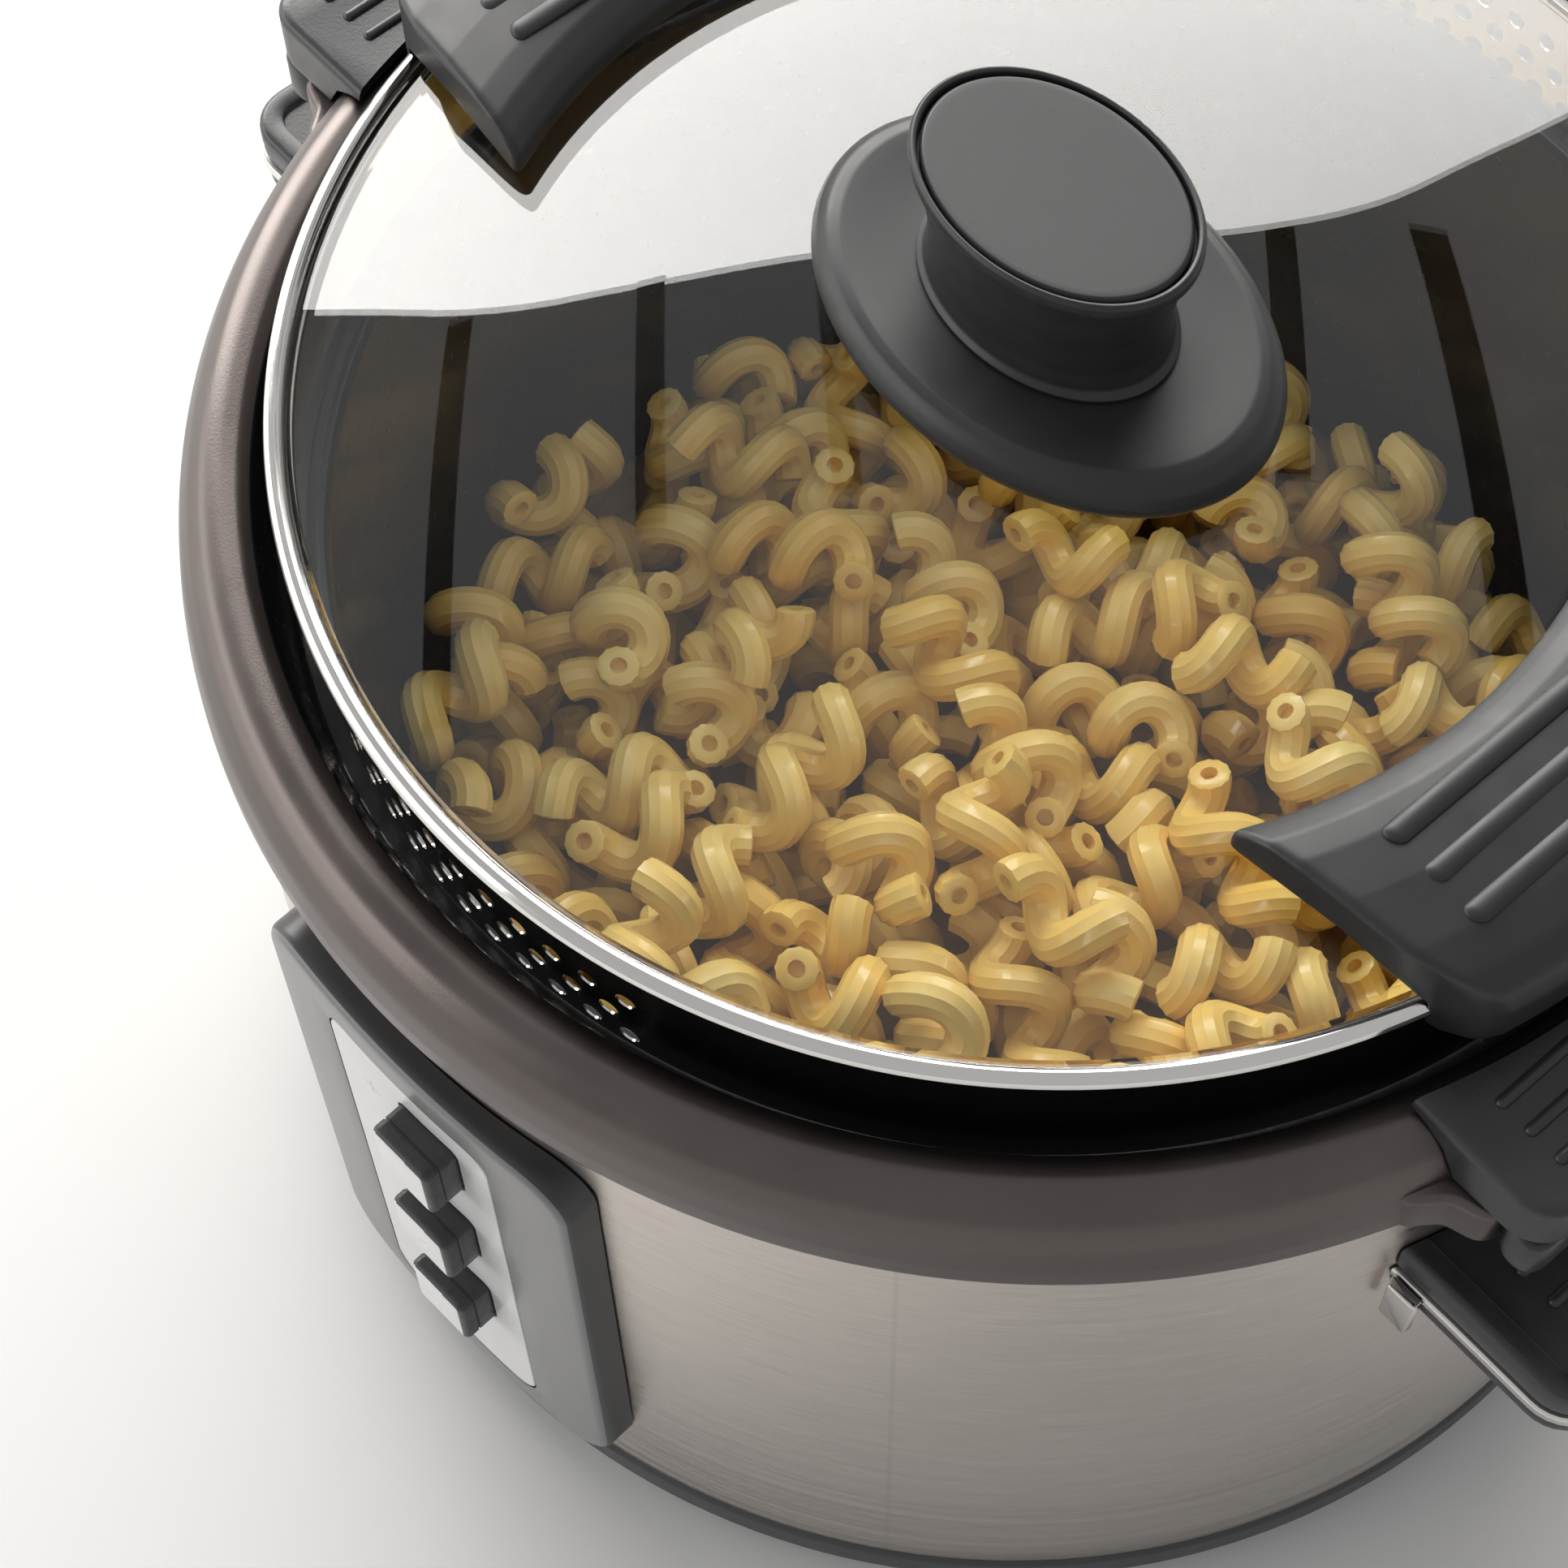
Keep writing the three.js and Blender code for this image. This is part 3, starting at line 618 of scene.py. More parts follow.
def make_strainer_tree():
    """Drills two fields of staggered round holes through a skirt, front and back."""
    tree, sockets, entry, leave = node_tree("strainer_holes", [
        ("Radius", "NodeSocketFloat", 0.117), ("Hole", "NodeSocketFloat", 0.0016),
        ("Pitch", "NodeSocketFloat", 0.0576), ("Row Step", "NodeSocketFloat", 0.0057),
        ("First Row", "NodeSocketFloat", 0.1716), ("Columns", "NodeSocketInt", 11),
        ("Rows", "NodeSocketInt", 3), ("Material", "NodeSocketMaterial", None)])
    size = entry.outputs
    sweep = maths(tree, "MULTIPLY", size["Pitch"], maths(tree, "SUBTRACT", size["Columns"], 1.0))
    rise = maths(tree, "MULTIPLY", size["Row Step"], maths(tree, "SUBTRACT", size["Rows"], 1.0))
    grid = put(tree, "GeometryNodeMeshGrid", {"Size X": sweep, "Size Y": rise,
               "Vertices X": size["Columns"], "Vertices Y": size["Rows"]})
    spot = put(tree, "ShaderNodeSeparateXYZ", {0: put(tree, "GeometryNodeInputPosition").outputs[0]})
    middle = maths(tree, "LESS_THAN", maths(tree, "ABSOLUTE", spot.outputs[1]), 0.0005)
    shift = maths(tree, "MULTIPLY", middle, maths(tree, "MULTIPLY", size["Pitch"], 0.5))
    turn = maths(tree, "ADD", spot.outputs[0], shift)
    beyond = maths(tree, "GREATER_THAN", turn, maths(tree, "MULTIPLY", sweep, 0.505))
    fewer = put(tree, "GeometryNodeDeleteGeometry", {0: grid.outputs[0], 1: beyond})
    height = maths(tree, "ADD", size["First Row"], maths(tree, "ADD", spot.outputs[1],
                   maths(tree, "MULTIPLY", rise, 0.5)))
    across = maths(tree, "MULTIPLY", size["Radius"], maths(tree, "SINE", turn))
    ahead = maths(tree, "MULTIPLY", size["Radius"],
                  maths(tree, "MULTIPLY", maths(tree, "COSINE", turn), -1.0))
    target = put(tree, "ShaderNodeCombineXYZ", {0: across, 1: ahead, 2: height})
    bent = put(tree, "GeometryNodeSetPosition", {0: fewer.outputs[0], 2: target.outputs[0]})
    place = put(tree, "ShaderNodeSeparateXYZ", {0: put(tree, "GeometryNodeInputPosition").outputs[0]})
    outward = put(tree, "ShaderNodeCombineXYZ", {0: place.outputs[0], 1: place.outputs[1]})
    facing = put(tree, "FunctionNodeAlignRotationToVector", {"Vector": outward.outputs[0]}, axis="Z")
    drill = put(tree, "GeometryNodeMeshCylinder", {"Vertices": 16, "Radius": size["Hole"],
                "Depth": 0.008})
    drills = put(tree, "GeometryNodeInstanceOnPoints", {0: bent.outputs[0],
                 2: drill.outputs[0], 5: facing.outputs[0]})
    front = put(tree, "GeometryNodeRealizeInstances", {0: drills.outputs[0]})
    back = put(tree, "GeometryNodeTransform", {"Geometry": front.outputs[0],
               "Rotation": (0, 0, math.pi)})
    both = put(tree, "GeometryNodeJoinGeometry")
    tree.links.new(front.outputs[0], both.inputs[0])
    tree.links.new(back.outputs[0], both.inputs[0])
    cut = put(tree, "GeometryNodeMeshBoolean", {0: size["Geometry"], 1: both.outputs[0]},
              operation="DIFFERENCE", solver="EXACT")
    plain = put(tree, "GeometryNodeRealizeInstances", {0: cut.outputs[0]})
    dressed = put(tree, "GeometryNodeSetMaterial", {0: plain.outputs[0], 2: size["Material"]})
    tree.links.new(dressed.outputs[0], leave.inputs[0])
    return tree, sockets


def make_rib_tree():
    """A row of raised ribs with round ends, each running along Y."""
    tree, sockets, entry, leave = node_tree("grip_ribs", [
        ("Start", "NodeSocketVector", None), ("Step", "NodeSocketVector", None),
        ("Count", "NodeSocketInt", 3), ("Width", "NodeSocketFloat", 0.0034),
        ("Length", "NodeSocketFloat", 0.05), ("Height", "NodeSocketFloat", 0.0012),
        ("Bend", "NodeSocketFloat", 0.0), ("Material", "NodeSocketMaterial", None)])
    size = entry.outputs
    ball = put(tree, "GeometryNodeMeshUVSphere", {"Segments": 24, "Rings": 17,
               "Radius": maths(tree, "MULTIPLY", size["Width"], 0.5)})
    lying = put(tree, "GeometryNodeTransform", {"Geometry": ball.outputs[0],
                "Rotation": (math.pi / 2, 0, 0)})
    spot = put(tree, "ShaderNodeSeparateXYZ", {0: put(tree, "GeometryNodeInputPosition").outputs[0]})
    reach = maths(tree, "MULTIPLY", maths(tree, "SUBTRACT", size["Length"], size["Width"]), 0.5)
    pull = maths(tree, "MULTIPLY", maths(tree, "SIGN", spot.outputs[1]), reach)
    flat = maths(tree, "DIVIDE", maths(tree, "MULTIPLY", size["Height"], 2.0), size["Width"])
    target = put(tree, "ShaderNodeCombineXYZ", {0: spot.outputs[0],
                 1: maths(tree, "ADD", spot.outputs[1], pull),
                 2: maths(tree, "MULTIPLY", spot.outputs[2], flat)})
    long_rib = put(tree, "GeometryNodeSetPosition", {0: lying.outputs[0], 2: target.outputs[0]})
    line = put(tree, "GeometryNodeMeshLine", {"Count": size["Count"],
               "Start Location": size["Start"], "Offset": size["Step"]})
    row = put(tree, "GeometryNodeInstanceOnPoints", {0: line.outputs[0], 2: long_rib.outputs[0]})
    real = put(tree, "GeometryNodeRealizeInstances", {0: row.outputs[0]})
    laid = put(tree, "ShaderNodeSeparateXYZ", {0: put(tree, "GeometryNodeInputPosition").outputs[0]})
    square = maths(tree, "SUBTRACT", maths(tree, "MULTIPLY", laid.outputs[0], laid.outputs[0]),
                   maths(tree, "MULTIPLY", laid.outputs[1], laid.outputs[1]))
    round_x = maths(tree, "SUBTRACT", maths(tree, "SQRT", square), laid.outputs[0])
    arc = put(tree, "ShaderNodeCombineXYZ", {0: maths(tree, "MULTIPLY", round_x, size["Bend"])})
    curved = put(tree, "GeometryNodeSetPosition", {0: real.outputs[0], 3: arc.outputs[0]})
    smooth = put(tree, "GeometryNodeSetShadeSmooth", {0: curved.outputs[0]})
    dressed = put(tree, "GeometryNodeSetMaterial", {0: smooth.outputs[0], 2: size["Material"]})
    tree.links.new(dressed.outputs[0], leave.inputs[0])
    return tree, sockets


def make_cavatappi_tree():
    """One corkscrew tube: a ridged ring swept along a helix, with a bore at each end."""
    tree, sockets, entry, leave = node_tree("cavatappi_tube", [
        ("Turns", "NodeSocketFloat", 1.3), ("Coil Radius", "NodeSocketFloat", 0.0054),
        ("Length", "NodeSocketFloat", 0.027), ("Tube Radius", "NodeSocketFloat", 0.0044),
        ("Ridge Depth", "NodeSocketFloat", 0.07), ("Bore", "NodeSocketFloat", 0.4),
        ("Wobble", "NodeSocketFloat", 0.0016), ("Seed", "NodeSocketFloat", 0.0),
        ("Ridges", "NodeSocketInt", 11), ("Steps", "NodeSocketInt", 20),
        ("Material", "NodeSocketMaterial", None)])
    size = entry.outputs
    helix = put(tree, "GeometryNodeCurveSpiral", {
                "Resolution": size["Steps"], "Rotations": size["Turns"],
                "Start Radius": size["Coil Radius"], "End Radius": size["Coil Radius"],
                "Height": size["Length"]})
    spot = put(tree, "GeometryNodeInputPosition")
    drift = put(tree, "ShaderNodeTexNoise", {"Vector": spot.outputs[0], "W": size["Seed"],
                "Scale": 45.0, "Detail": 0.0}, noise_dimensions="4D")
    centred = put(tree, "ShaderNodeVectorMath", {0: drift.outputs["Color"], 1: (0.5, 0.5, 0.5)},
                  operation="SUBTRACT")
    pushed = put(tree, "ShaderNodeVectorMath", {0: centred.outputs[0]}, operation="SCALE")
    tree.links.new(maths(tree, "MULTIPLY", size["Wobble"], 2.0), pushed.inputs["Scale"])
    bent = put(tree, "GeometryNodeSetPosition", {0: helix.outputs[0], 3: pushed.outputs[0]})
    ring = put(tree, "GeometryNodeCurveStar", {
               "Points": size["Ridges"], "Outer Radius": size["Tube Radius"],
               "Inner Radius": maths(tree, "MULTIPLY", size["Tube Radius"],
                                     maths(tree, "SUBTRACT", 1.0, size["Ridge Depth"]))})
    tube = put(tree, "GeometryNodeCurveToMesh", {"Curve": bent.outputs[0],
               "Profile Curve": ring.outputs[0], "Fill Caps": True})
    corners = put(tree, "GeometryNodeInputMeshFaceNeighbors")
    cap = put(tree, "FunctionNodeCompare", {2: corners.outputs[0], 3: 6},
              data_type="INT", operation="GREATER_THAN")
    rim = put(tree, "GeometryNodeExtrudeMesh", {"Mesh": tube.outputs[0],
              "Selection": cap.outputs[0], "Offset Scale": 0.0003})
    mouth = put(tree, "GeometryNodeScaleElements", {0: rim.outputs["Mesh"],
                1: rim.outputs["Top"], "Scale": 0.86})
    wall = put(tree, "GeometryNodeExtrudeMesh", {"Mesh": mouth.outputs[0],
               "Selection": rim.outputs["Top"], "Offset Scale": 0.0})
    narrow = put(tree, "GeometryNodeScaleElements", {0: wall.outputs["Mesh"],
                 1: wall.outputs["Top"], "Scale": size["Bore"]})
    bore = put(tree, "GeometryNodeExtrudeMesh", {"Mesh": narrow.outputs[0],
               "Selection": wall.outputs["Top"], "Offset Scale": -0.0022})
    real = put(tree, "GeometryNodeRealizeInstances", {0: bore.outputs["Mesh"]})
    smooth = put(tree, "GeometryNodeSetShadeSmooth", {0: real.outputs[0]})
    dressed = put(tree, "GeometryNodeSetMaterial", {0: smooth.outputs[0], 2: size["Material"]})
    tree.links.new(dressed.outputs[0], leave.inputs[0])
    return tree, sockets


STRAINER = make_strainer_tree()
RIBS = make_rib_tree()
CAVATAPPI = make_cavatappi_tree()


def rib_row(name, start, step, count, width, length, height, material, bend=0.0):
    values = {"Start": [v * MM for v in start], "Step": [v * MM for v in step],
              "Count": count, "Width": width * MM, "Length": length * MM,
              "Height": height * MM, "Bend": bend, "Material": material}
    return grown(name, *RIBS, values)


# ---- Heater body ----------------------------------------------------------------------
def make_heater_body():
    tray = soften([
        (0, 4), (128, 4), (133, 6.2), (BASE_R, 10), (BASE_R, 16.2), (BASE_R - 1.6, 16.9),
        (BASE_R - 1.6, 17.7), (130.6, 17.7), (130.6, 12), (126, 7.5), (0, 7.5)],
        [0, 2, 2, 2, 0.4, 0.3, 0, 0, 1, 1, 0], 3)
    base = turned("base_ring", tray, [BASE_PLASTIC])
    settle_piece(base, "cooker", "base_plastic", "base")
    inner = BAND_R - 1.6
    band = turned("steel_band_round", soften([
        (inner, BAND_BOTTOM), (BAND_R, BAND_BOTTOM), (BAND_R, BAND_TOP), (inner, BAND_TOP)],
        0.4, 2), [STEEL, HEATER_LINING], lambda at, normal: int(math.hypot(at.x, at.y) < inner + 0.2))
    settle_piece(band, "cooker", "steel", "steel_band")


# ---- Pot ------------------------------------------------------------------------------
def make_pot():
    outline = [
        (0, 24), (98, 24), (112, 32), (116.5, 50), (119, 158), (126, COLLAR_BOTTOM),
        (136.4, COLLAR_BOTTOM), (COLLAR_R, 168.3), (COLLAR_R - 0.1, 172.5), (136.5, 178.3),
        (134.4, 182.6), (131.8, 185.6), (129, COLLAR_TOP), (126, 186.1), (124.1, 184.6),
        (123.3, 182.4), (121.6, 176), (120.6, 168.9), (120.2, LEDGE_Z), (115.4, LEDGE_Z),
        (114.2, LEDGE_Z - 0.6), (113.4, LEDGE_Z - 2.4), (109.6, 58), (106, 41), (97, 32),
        (86, 30), (0, 30)]
    radii = [0, 6, 12, 20, 8, 3, 1.5, 3, 8, 10, 8, 6, 4, 3, 1.2, 6, 8, 1, 1, 1, 1, 1, 20, 12, 8, 8, 0]
    metal_skin = 1

    def side(at, normal):
        r = math.hypot(at.x, at.y)
        inward = normal.x * at.x + normal.y * at.y < 0
        inner_side = r < 124.3 and at.z > 100 and (inward or normal.z > 0.3)
        floor_side = r < 112 and at.z > 29
        return 0 if (inner_side or floor_side) else metal_skin

    pot = turned("pot_cast", soften(outline, radii, 4), [NON_STICK, COLLAR_PAINT], side, sides=240)
    plan = soften([(122, -46), (128.5, -49), (133, -43), (139.4, -41),
                   (139.4, 41), (133, 43), (128.5, 49), (122, 46)], 4, 5)
    rings = []
    for inset, z in round_profile(COLLAR_BOTTOM + 1.4, HANDLE_SPLIT, 1.4, 4):
        rings.append([(x, y, z) for x, y in inset_outline(plan, inset)])
    vertices, faces = loft(rings)
    lug = piece("pot_lug", vertices, faces, [COLLAR_PAINT])
    other = half_turn(lug, "pot_lug_left")
    pot = joined(pot, lug, other)
    settle_piece(pot, "cooker", "pot_metal", "pot")


def make_pot_handles():
    def inner_x(y, z):
        """How far in the handle reaches at a height, clear of the collar and the lid."""
        stops = ((0, 138.0), (173.5, 138.0), (179.4, 137.1), (184.5, 134.4), (187.1, 130.6),
                 (187.6, 127.8), (220, 127.8))
        r = stops[-1][1]
        for (z0, r0), (z1, r1) in zip(stops, stops[1:]):
            if z0 <= z <= z1:
                r = r0 + (r1 - r0) * (z - z0) / (z1 - z0)
                break
        return math.sqrt(r * r - y * y)

    def plain_ring(z, inset, corner):
        half = HANDLE_HALF - inset
        out = HANDLE_OUT - inset
        made = [(inner_x(half - 2 * half * k / 18, z), half - 2 * half * k / 18, z) for k in range(19)]
        for start, middle_y in ((270, corner - half), (0, half - corner)):
            for k in range(9):
                turn = math.radians(start + 90 * k / 8)
                made.append((out - corner + corner * math.cos(turn),
                             middle_y + corner * math.sin(turn), z))
        return made

    heights = round_profile(HANDLE_SPLIT + 0.3, HANDLE_TOP, 1.6, 4)
    middle = [(0.0, 179.6 + 1.2 * k) for k in range(8)]
    rings = [plain_ring(z, inset, 7) for inset, z in heights[:5] + middle + heights[5:]]
    vertices, faces = loft(rings)
    top = piece("pot_handle_grip_right", vertices, faces, [HANDLE_PLASTIC])
    ribs = rib_row("pot_handle_ribs", (129.6, 0, HANDLE_TOP - 0.1), (5.6, 0, 0), 3, 2.2, 66, 0.9,
                   HANDLE_PLASTIC)
    top = joined(top, ribs)
    left = half_turn(top, "pot_handle_grip_left")
    settle_piece(top, "cooker", "handle_plastic", "pot_handle_top_right")
    settle_piece(left, "cooker", "handle_plastic", "pot_handle_top_left")
    plan = rounded_rect(139.7, -40.2, 147.2, 40.2, 3.2, 5, 4)
    rings = [[(x, y, z) for x, y in inset_outline(plan, inset)]
             for inset, z in round_profile(168, HANDLE_SPLIT, 1.2, 3)]
    under = piece("pot_handle_under_right", *loft(rings), [HANDLE_PLASTIC])
    under_left = half_turn(under, "pot_handle_under_left")
    settle_piece(under, "cooker", "handle_plastic", "pot_handle_bottom_right")
    settle_piece(under_left, "cooker", "handle_plastic", "pot_handle_bottom_left")


def make_side_handles():
    room = BAND_R + 0.35

    def ring(z, inset, corner=9.0):
        half = SIDE_HALF - inset
        out = SIDE_OUT - inset
        r = max(corner - inset, 1.0)
        made = []
        for k in range(19):
            y = half - 2 * half * k / 18
            made.append((math.sqrt(room * room - y * y), y, z))
        for k in range(9):
            turn = math.radians(270 + 90 * k / 8)
            made.append((out - r + r * math.cos(turn), -half + r + r * math.sin(turn), z))
        for k in range(9):
            turn = math.radians(90 * k / 8)
            made.append((out - r + r * math.cos(turn), half - r + r * math.sin(turn), z))
        return made

    low = TRIM_Z + TRIM_T + 0.3
    shell = [ring(z, 0.6 + inset) for inset, z in round_profile(low, SIDE_TOP, 1.4, 4)]
    shell.append(ring(SIDE_TOP, 4.4))
    shell.append(ring(SIDE_TOP - 0.3, 4.9))
    shell.append(ring(SIDE_TOP - 1.2, 5.2))
    cap = piece("side_grip_right", *loft(shell), [HANDLE_PLASTIC])
    ribs = rib_row("side_ribs", (142, 0, SIDE_TOP - 1.25), (6.5, 0, 0), 3, 2.4, 62, 1.05,
                   HANDLE_PLASTIC)
    cap = joined(cap, ribs)
    settle_piece(cap, "cooker", "handle_plastic", "side_handle_top_right")
    settle_piece(half_turn(cap, "side_grip_left"), "cooker", "handle_plastic", "side_handle_top_left")
    plate = [ring(z, inset) for inset, z in round_profile(TRIM_Z, TRIM_Z + TRIM_T, 0.5, 3)]
    trim = piece("side_trim_right", *loft(plate), [POLISHED])
    settle_piece(trim, "cooker", "bright_trim", "side_handle_trim_right")
    settle_piece(half_turn(trim, "side_trim_left"), "cooker", "bright_trim", "side_handle_trim_left")
    lower = [ring(z, 0.8 + inset) for inset, z in round_profile(SIDE_BOTTOM, TRIM_Z - 0.3, 1.6, 4)]
    under = piece("side_under_right", *loft(lower), [HANDLE_PLASTIC])
    settle_piece(under, "cooker", "handle_plastic", "side_handle_bottom_right")
    under_left = half_turn(under, "side_under_left")
    settle_piece(under_left, "cooker", "handle_plastic", "side_handle_bottom_left")
    for letter, sign in (("a", -1), ("b", 1)):
        inner, outer = SIDE_HALF + 0.4, SIDE_HALF + 2.4
        outline = [(134.4, inner), (134.4, outer), (129, outer), (128.2, inner)]
        outline = [(x, sign * y) for x, y in outline]
        outline = soften(outline, 0.5, 3)
        rings = [[(x, y, z) for x, y in inset_outline(outline, inset)]
                 for inset, z in round_profile(127.5, TRIM_Z + TRIM_T, 0.4, 3)]
        clip = piece(f"clip_{letter}_right", *loft(rings), [POLISHED])
        settle_piece(clip, "cooker", "bright_trim", f"trim_clip_{letter}_right")
        settle_piece(half_turn(clip, f"clip_{letter}_left"), "cooker", "bright_trim",
                     f"trim_clip_{letter}_left")


# ---- Control panel --------------------------------------------------------------------
def turned_to_panel(rings):
    c, s = math.cos(PANEL_TURN), math.sin(PANEL_TURN)
    return [[(x * c - y * s, x * s + y * c, z) for x, y, z in ring] for ring in rings]


def bow(x, front):
    """How far forward the bowed face stands at x, as a -Y place."""
    return -(math.sqrt(PANEL_BOW_R ** 2 - x * x) - PANEL_BOW_R + front)


def band_face(x, clear=0.4):
    return -math.sqrt((BAND_R + clear) ** 2 - x * x)


def drill_out(obj, cutter):
    modifier = obj.modifiers.new("wells", "BOOLEAN")
    modifier.object = cutter
    modifier.operation = "DIFFERENCE"
    modifier.solver = "EXACT"
    graph = bpy.context.evaluated_depsgraph_get()
    mesh = bpy.data.meshes.new_from_object(obj.evaluated_get(graph))
    obj.modifiers.remove(modifier)
    obj.data = mesh
    return obj


def make_panel():
    plan = rounded_rect(-PANEL_W / 2, PANEL_BOTTOM, PANEL_W / 2, PANEL_TOP, 9, 8, 12)
    well = rounded_rect(-INSET_W / 2 - 0.3, INSET_BOTTOM - 0.3, INSET_W / 2 + 0.3, INSET_TOP + 0.3,
                        5, 8, 12)
    edge = 1.8
    rings = [[(x, band_face(x), z) for x, z in plan]]
    for share in (0.35, 0.7):
        rings.append([(x, band_face(x) * (1 - share) + (bow(x, PANEL_FRONT) + edge) * share, z)
                      for x, z in plan])
    for k in range(6):
        turn = math.pi / 2 * k / 5
        face = inset_outline(plan, edge * (1 - math.cos(turn)))
        rings.append([(x, bow(x, PANEL_FRONT) + edge * (1 - math.sin(turn)), z) for x, z in face])
    edge_ring = inset_outline(plan, edge)
    for share in (0.33, 0.66, 0.97):
        mid = [(a[0] + (b[0] - a[0]) * share, a[1] + (b[1] - a[1]) * share)
               for a, b in zip(edge_ring, well)]
        rings.append([(x, bow(x, PANEL_FRONT), z) for x, z in mid])
    rings.append([(x, bow(x, PANEL_FRONT) + 0.15, z) for x, z in well])
    rings.append([(x, bow(x, PANEL_FRONT) + 1.1, z) for x, z in well])
    vertices, faces = loft(turned_to_panel(rings))

    # Forward faces get the panel plastic; the sides and top get the darker painted-shade copy.
    def skin(at, normal):
        return 0 if normal.y < -0.55 else 1

    panel = piece("panel_housing", vertices, faces, [PANEL_PLASTIC, PANEL_SIDES_PAINTED_SHADE], skin)
    film = rounded_rect(-INSET_W / 2, INSET_BOTTOM, INSET_W / 2, INSET_TOP, 5, 8, 12)
    rings = [[(x, bow(x, PANEL_FRONT - 0.8), z) for x, z in film],
             [(x, bow(x, PANEL_FRONT - 0.25), z) for x, z in film],
             [(x, bow(x, PANEL_FRONT - 0.1), z) for x, z in inset_outline(film, 0.2)]]
    for share in (0.3, 0.6, 0.9):
        rings.append([(x * (1 - share), bow(x * (1 - share), PANEL_FRONT - 0.1),
                       z + (93 - z) * share) for x, z in inset_outline(film, 0.2)])
    inset = piece("panel_film_plate", *loft(turned_to_panel(rings)), [PANEL_FILM])
    wells = []
    for i, z in enumerate(BUTTON_Z):
        grow = 0.45
        w, h = BUTTON_W / 2 + grow, BUTTON_H / 2 + grow
        shape = rounded_rect(BUTTON_X - w, z - h, BUTTON_X + w, z + h, 2.05, 6, 2)
        rings = [[(x, y, zz) for x, zz in shape] for y in (-135.7, -146)]
        wells.append(piece(f"well_{i}", *loft(turned_to_panel(rings)), [PANEL_SIDES_PAINTED_SHADE]))
    cutter = joined(*wells)
    drill_out(panel, cutter)
    drill_out(inset, cutter)
    for obj in (panel, inset):
        obj.data.shade_smooth()
        obj.data.set_sharp_from_angle(angle=math.radians(35))
    bpy.data.objects.remove(cutter)
    settle_piece(panel, "cooker", "panel_plastic", "panel")
    settle_piece(inset, "cooker", "membrane", "panel_inset")


def make_buttons():
    for name, z in zip(("button_top", "button_middle", "button_bottom"), BUTTON_Z):
        w, h = BUTTON_W / 2, BUTTON_H / 2
        shape = rounded_rect(BUTTON_X - w, z - h, BUTTON_X + w, z + h, 1.6, 6, 3)
        rings = [[(x, -BUTTON_BACK, zz) for x, zz in shape]]
        rings.append([(x, -(BUTTON_FRONT - 3.1), zz) for x, zz in shape])
        rings.append([(x, -(BUTTON_FRONT - 3.0), zz) for x, zz in inset_outline(shape, 0.25)])
        rings.append([(x, -(BUTTON_FRONT - 2.7), zz) for x, zz in inset_outline(shape, 0.25)])
        rings.append([(x, -(BUTTON_FRONT - 2.6), zz) for x, zz in shape])
        for k in range(6):
            turn = math.pi / 2 * k / 5
            face = inset_outline(shape, 1.1 * (1 - math.cos(turn)))
            rings.append([(x, -(BUTTON_FRONT - 1.1 + 1.1 * math.sin(turn)), zz) for x, zz in face])
        # The front face gets the near-white painted reflection; the rest of the cap stays dark button
        # plastic.
        cap = piece(f"{name}_cap", *loft(turned_to_panel(rings)), [BUTTON_PLASTIC, BUTTON_FACE_PAINTED_SHEEN],
                    lambda at, normal: int(normal.y < -0.9 and at.y < 0.5 - BUTTON_FRONT))
        settle_piece(cap, name, "button_plastic", name)


def make_power_inlet():
    plan = rounded_rect(-INLET_W / 2, INLET_BOTTOM, INLET_W / 2, INLET_TOP, 4, 6, 6)
    socket = rounded_rect(-12, INLET_BOTTOM + 9, 12, INLET_TOP - 9, 3, 6, 6)
    rings = [[(x, band_face(x), z) for x, z in plan]]
    for k in range(5):
        turn = math.pi / 2 * k / 4
        face = inset_outline(plan, 1.2 * (1 - math.cos(turn)))
        rings.append([(x, -(INLET_OUT - 1.2 + 1.2 * math.sin(turn)), z) for x, z in face])
    rings.append([(x, -INLET_OUT, z) for x, z in inset_outline(socket, -0.5)])
    rings.append([(x, -(INLET_OUT - 0.5), z) for x, z in socket])
    rings.append([(x, -(INLET_OUT - 7), z) for x, z in socket])
    inlet = piece("inlet_housing", *loft(rings), [BASE_PLASTIC])
    pins = []
    for i, x in enumerate((-6, 0, 6)):
        blade = rounded_rect(x - 1, 44.5, x + 1, 50.5, 0.5, 3, 1)
        rings = [[(px, -(INLET_OUT - y), z) for px, z in blade] for y in (7.5, 1.8)]
        rings.append([(px, -(INLET_OUT - 1.3), z) for px, z in inset_outline(blade, 0.4)])
        pins.append(piece(f"inlet_pin_{i}", *loft(rings), [POLISHED]))
    inlet = joined(inlet, *pins)
    inlet.data.transform(Matrix.Rotation(math.pi, 4, "Z"))
    settle_piece(inlet, "cooker", "base_plastic", "power_inlet")


def dress_feet():
    for name in ("foot_front_right", "foot_back_right", "foot_back_left", "foot_front_left"):
        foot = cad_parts[name]
        foot.data.materials.clear()
        foot.data.materials.append(RUBBER)


# ---- Lid ------------------------------------------------------------------------------
def dome_z(r):
    return GLASS_EDGE_Z + DOME_H * (1 - (r / DOME_R) ** 2)


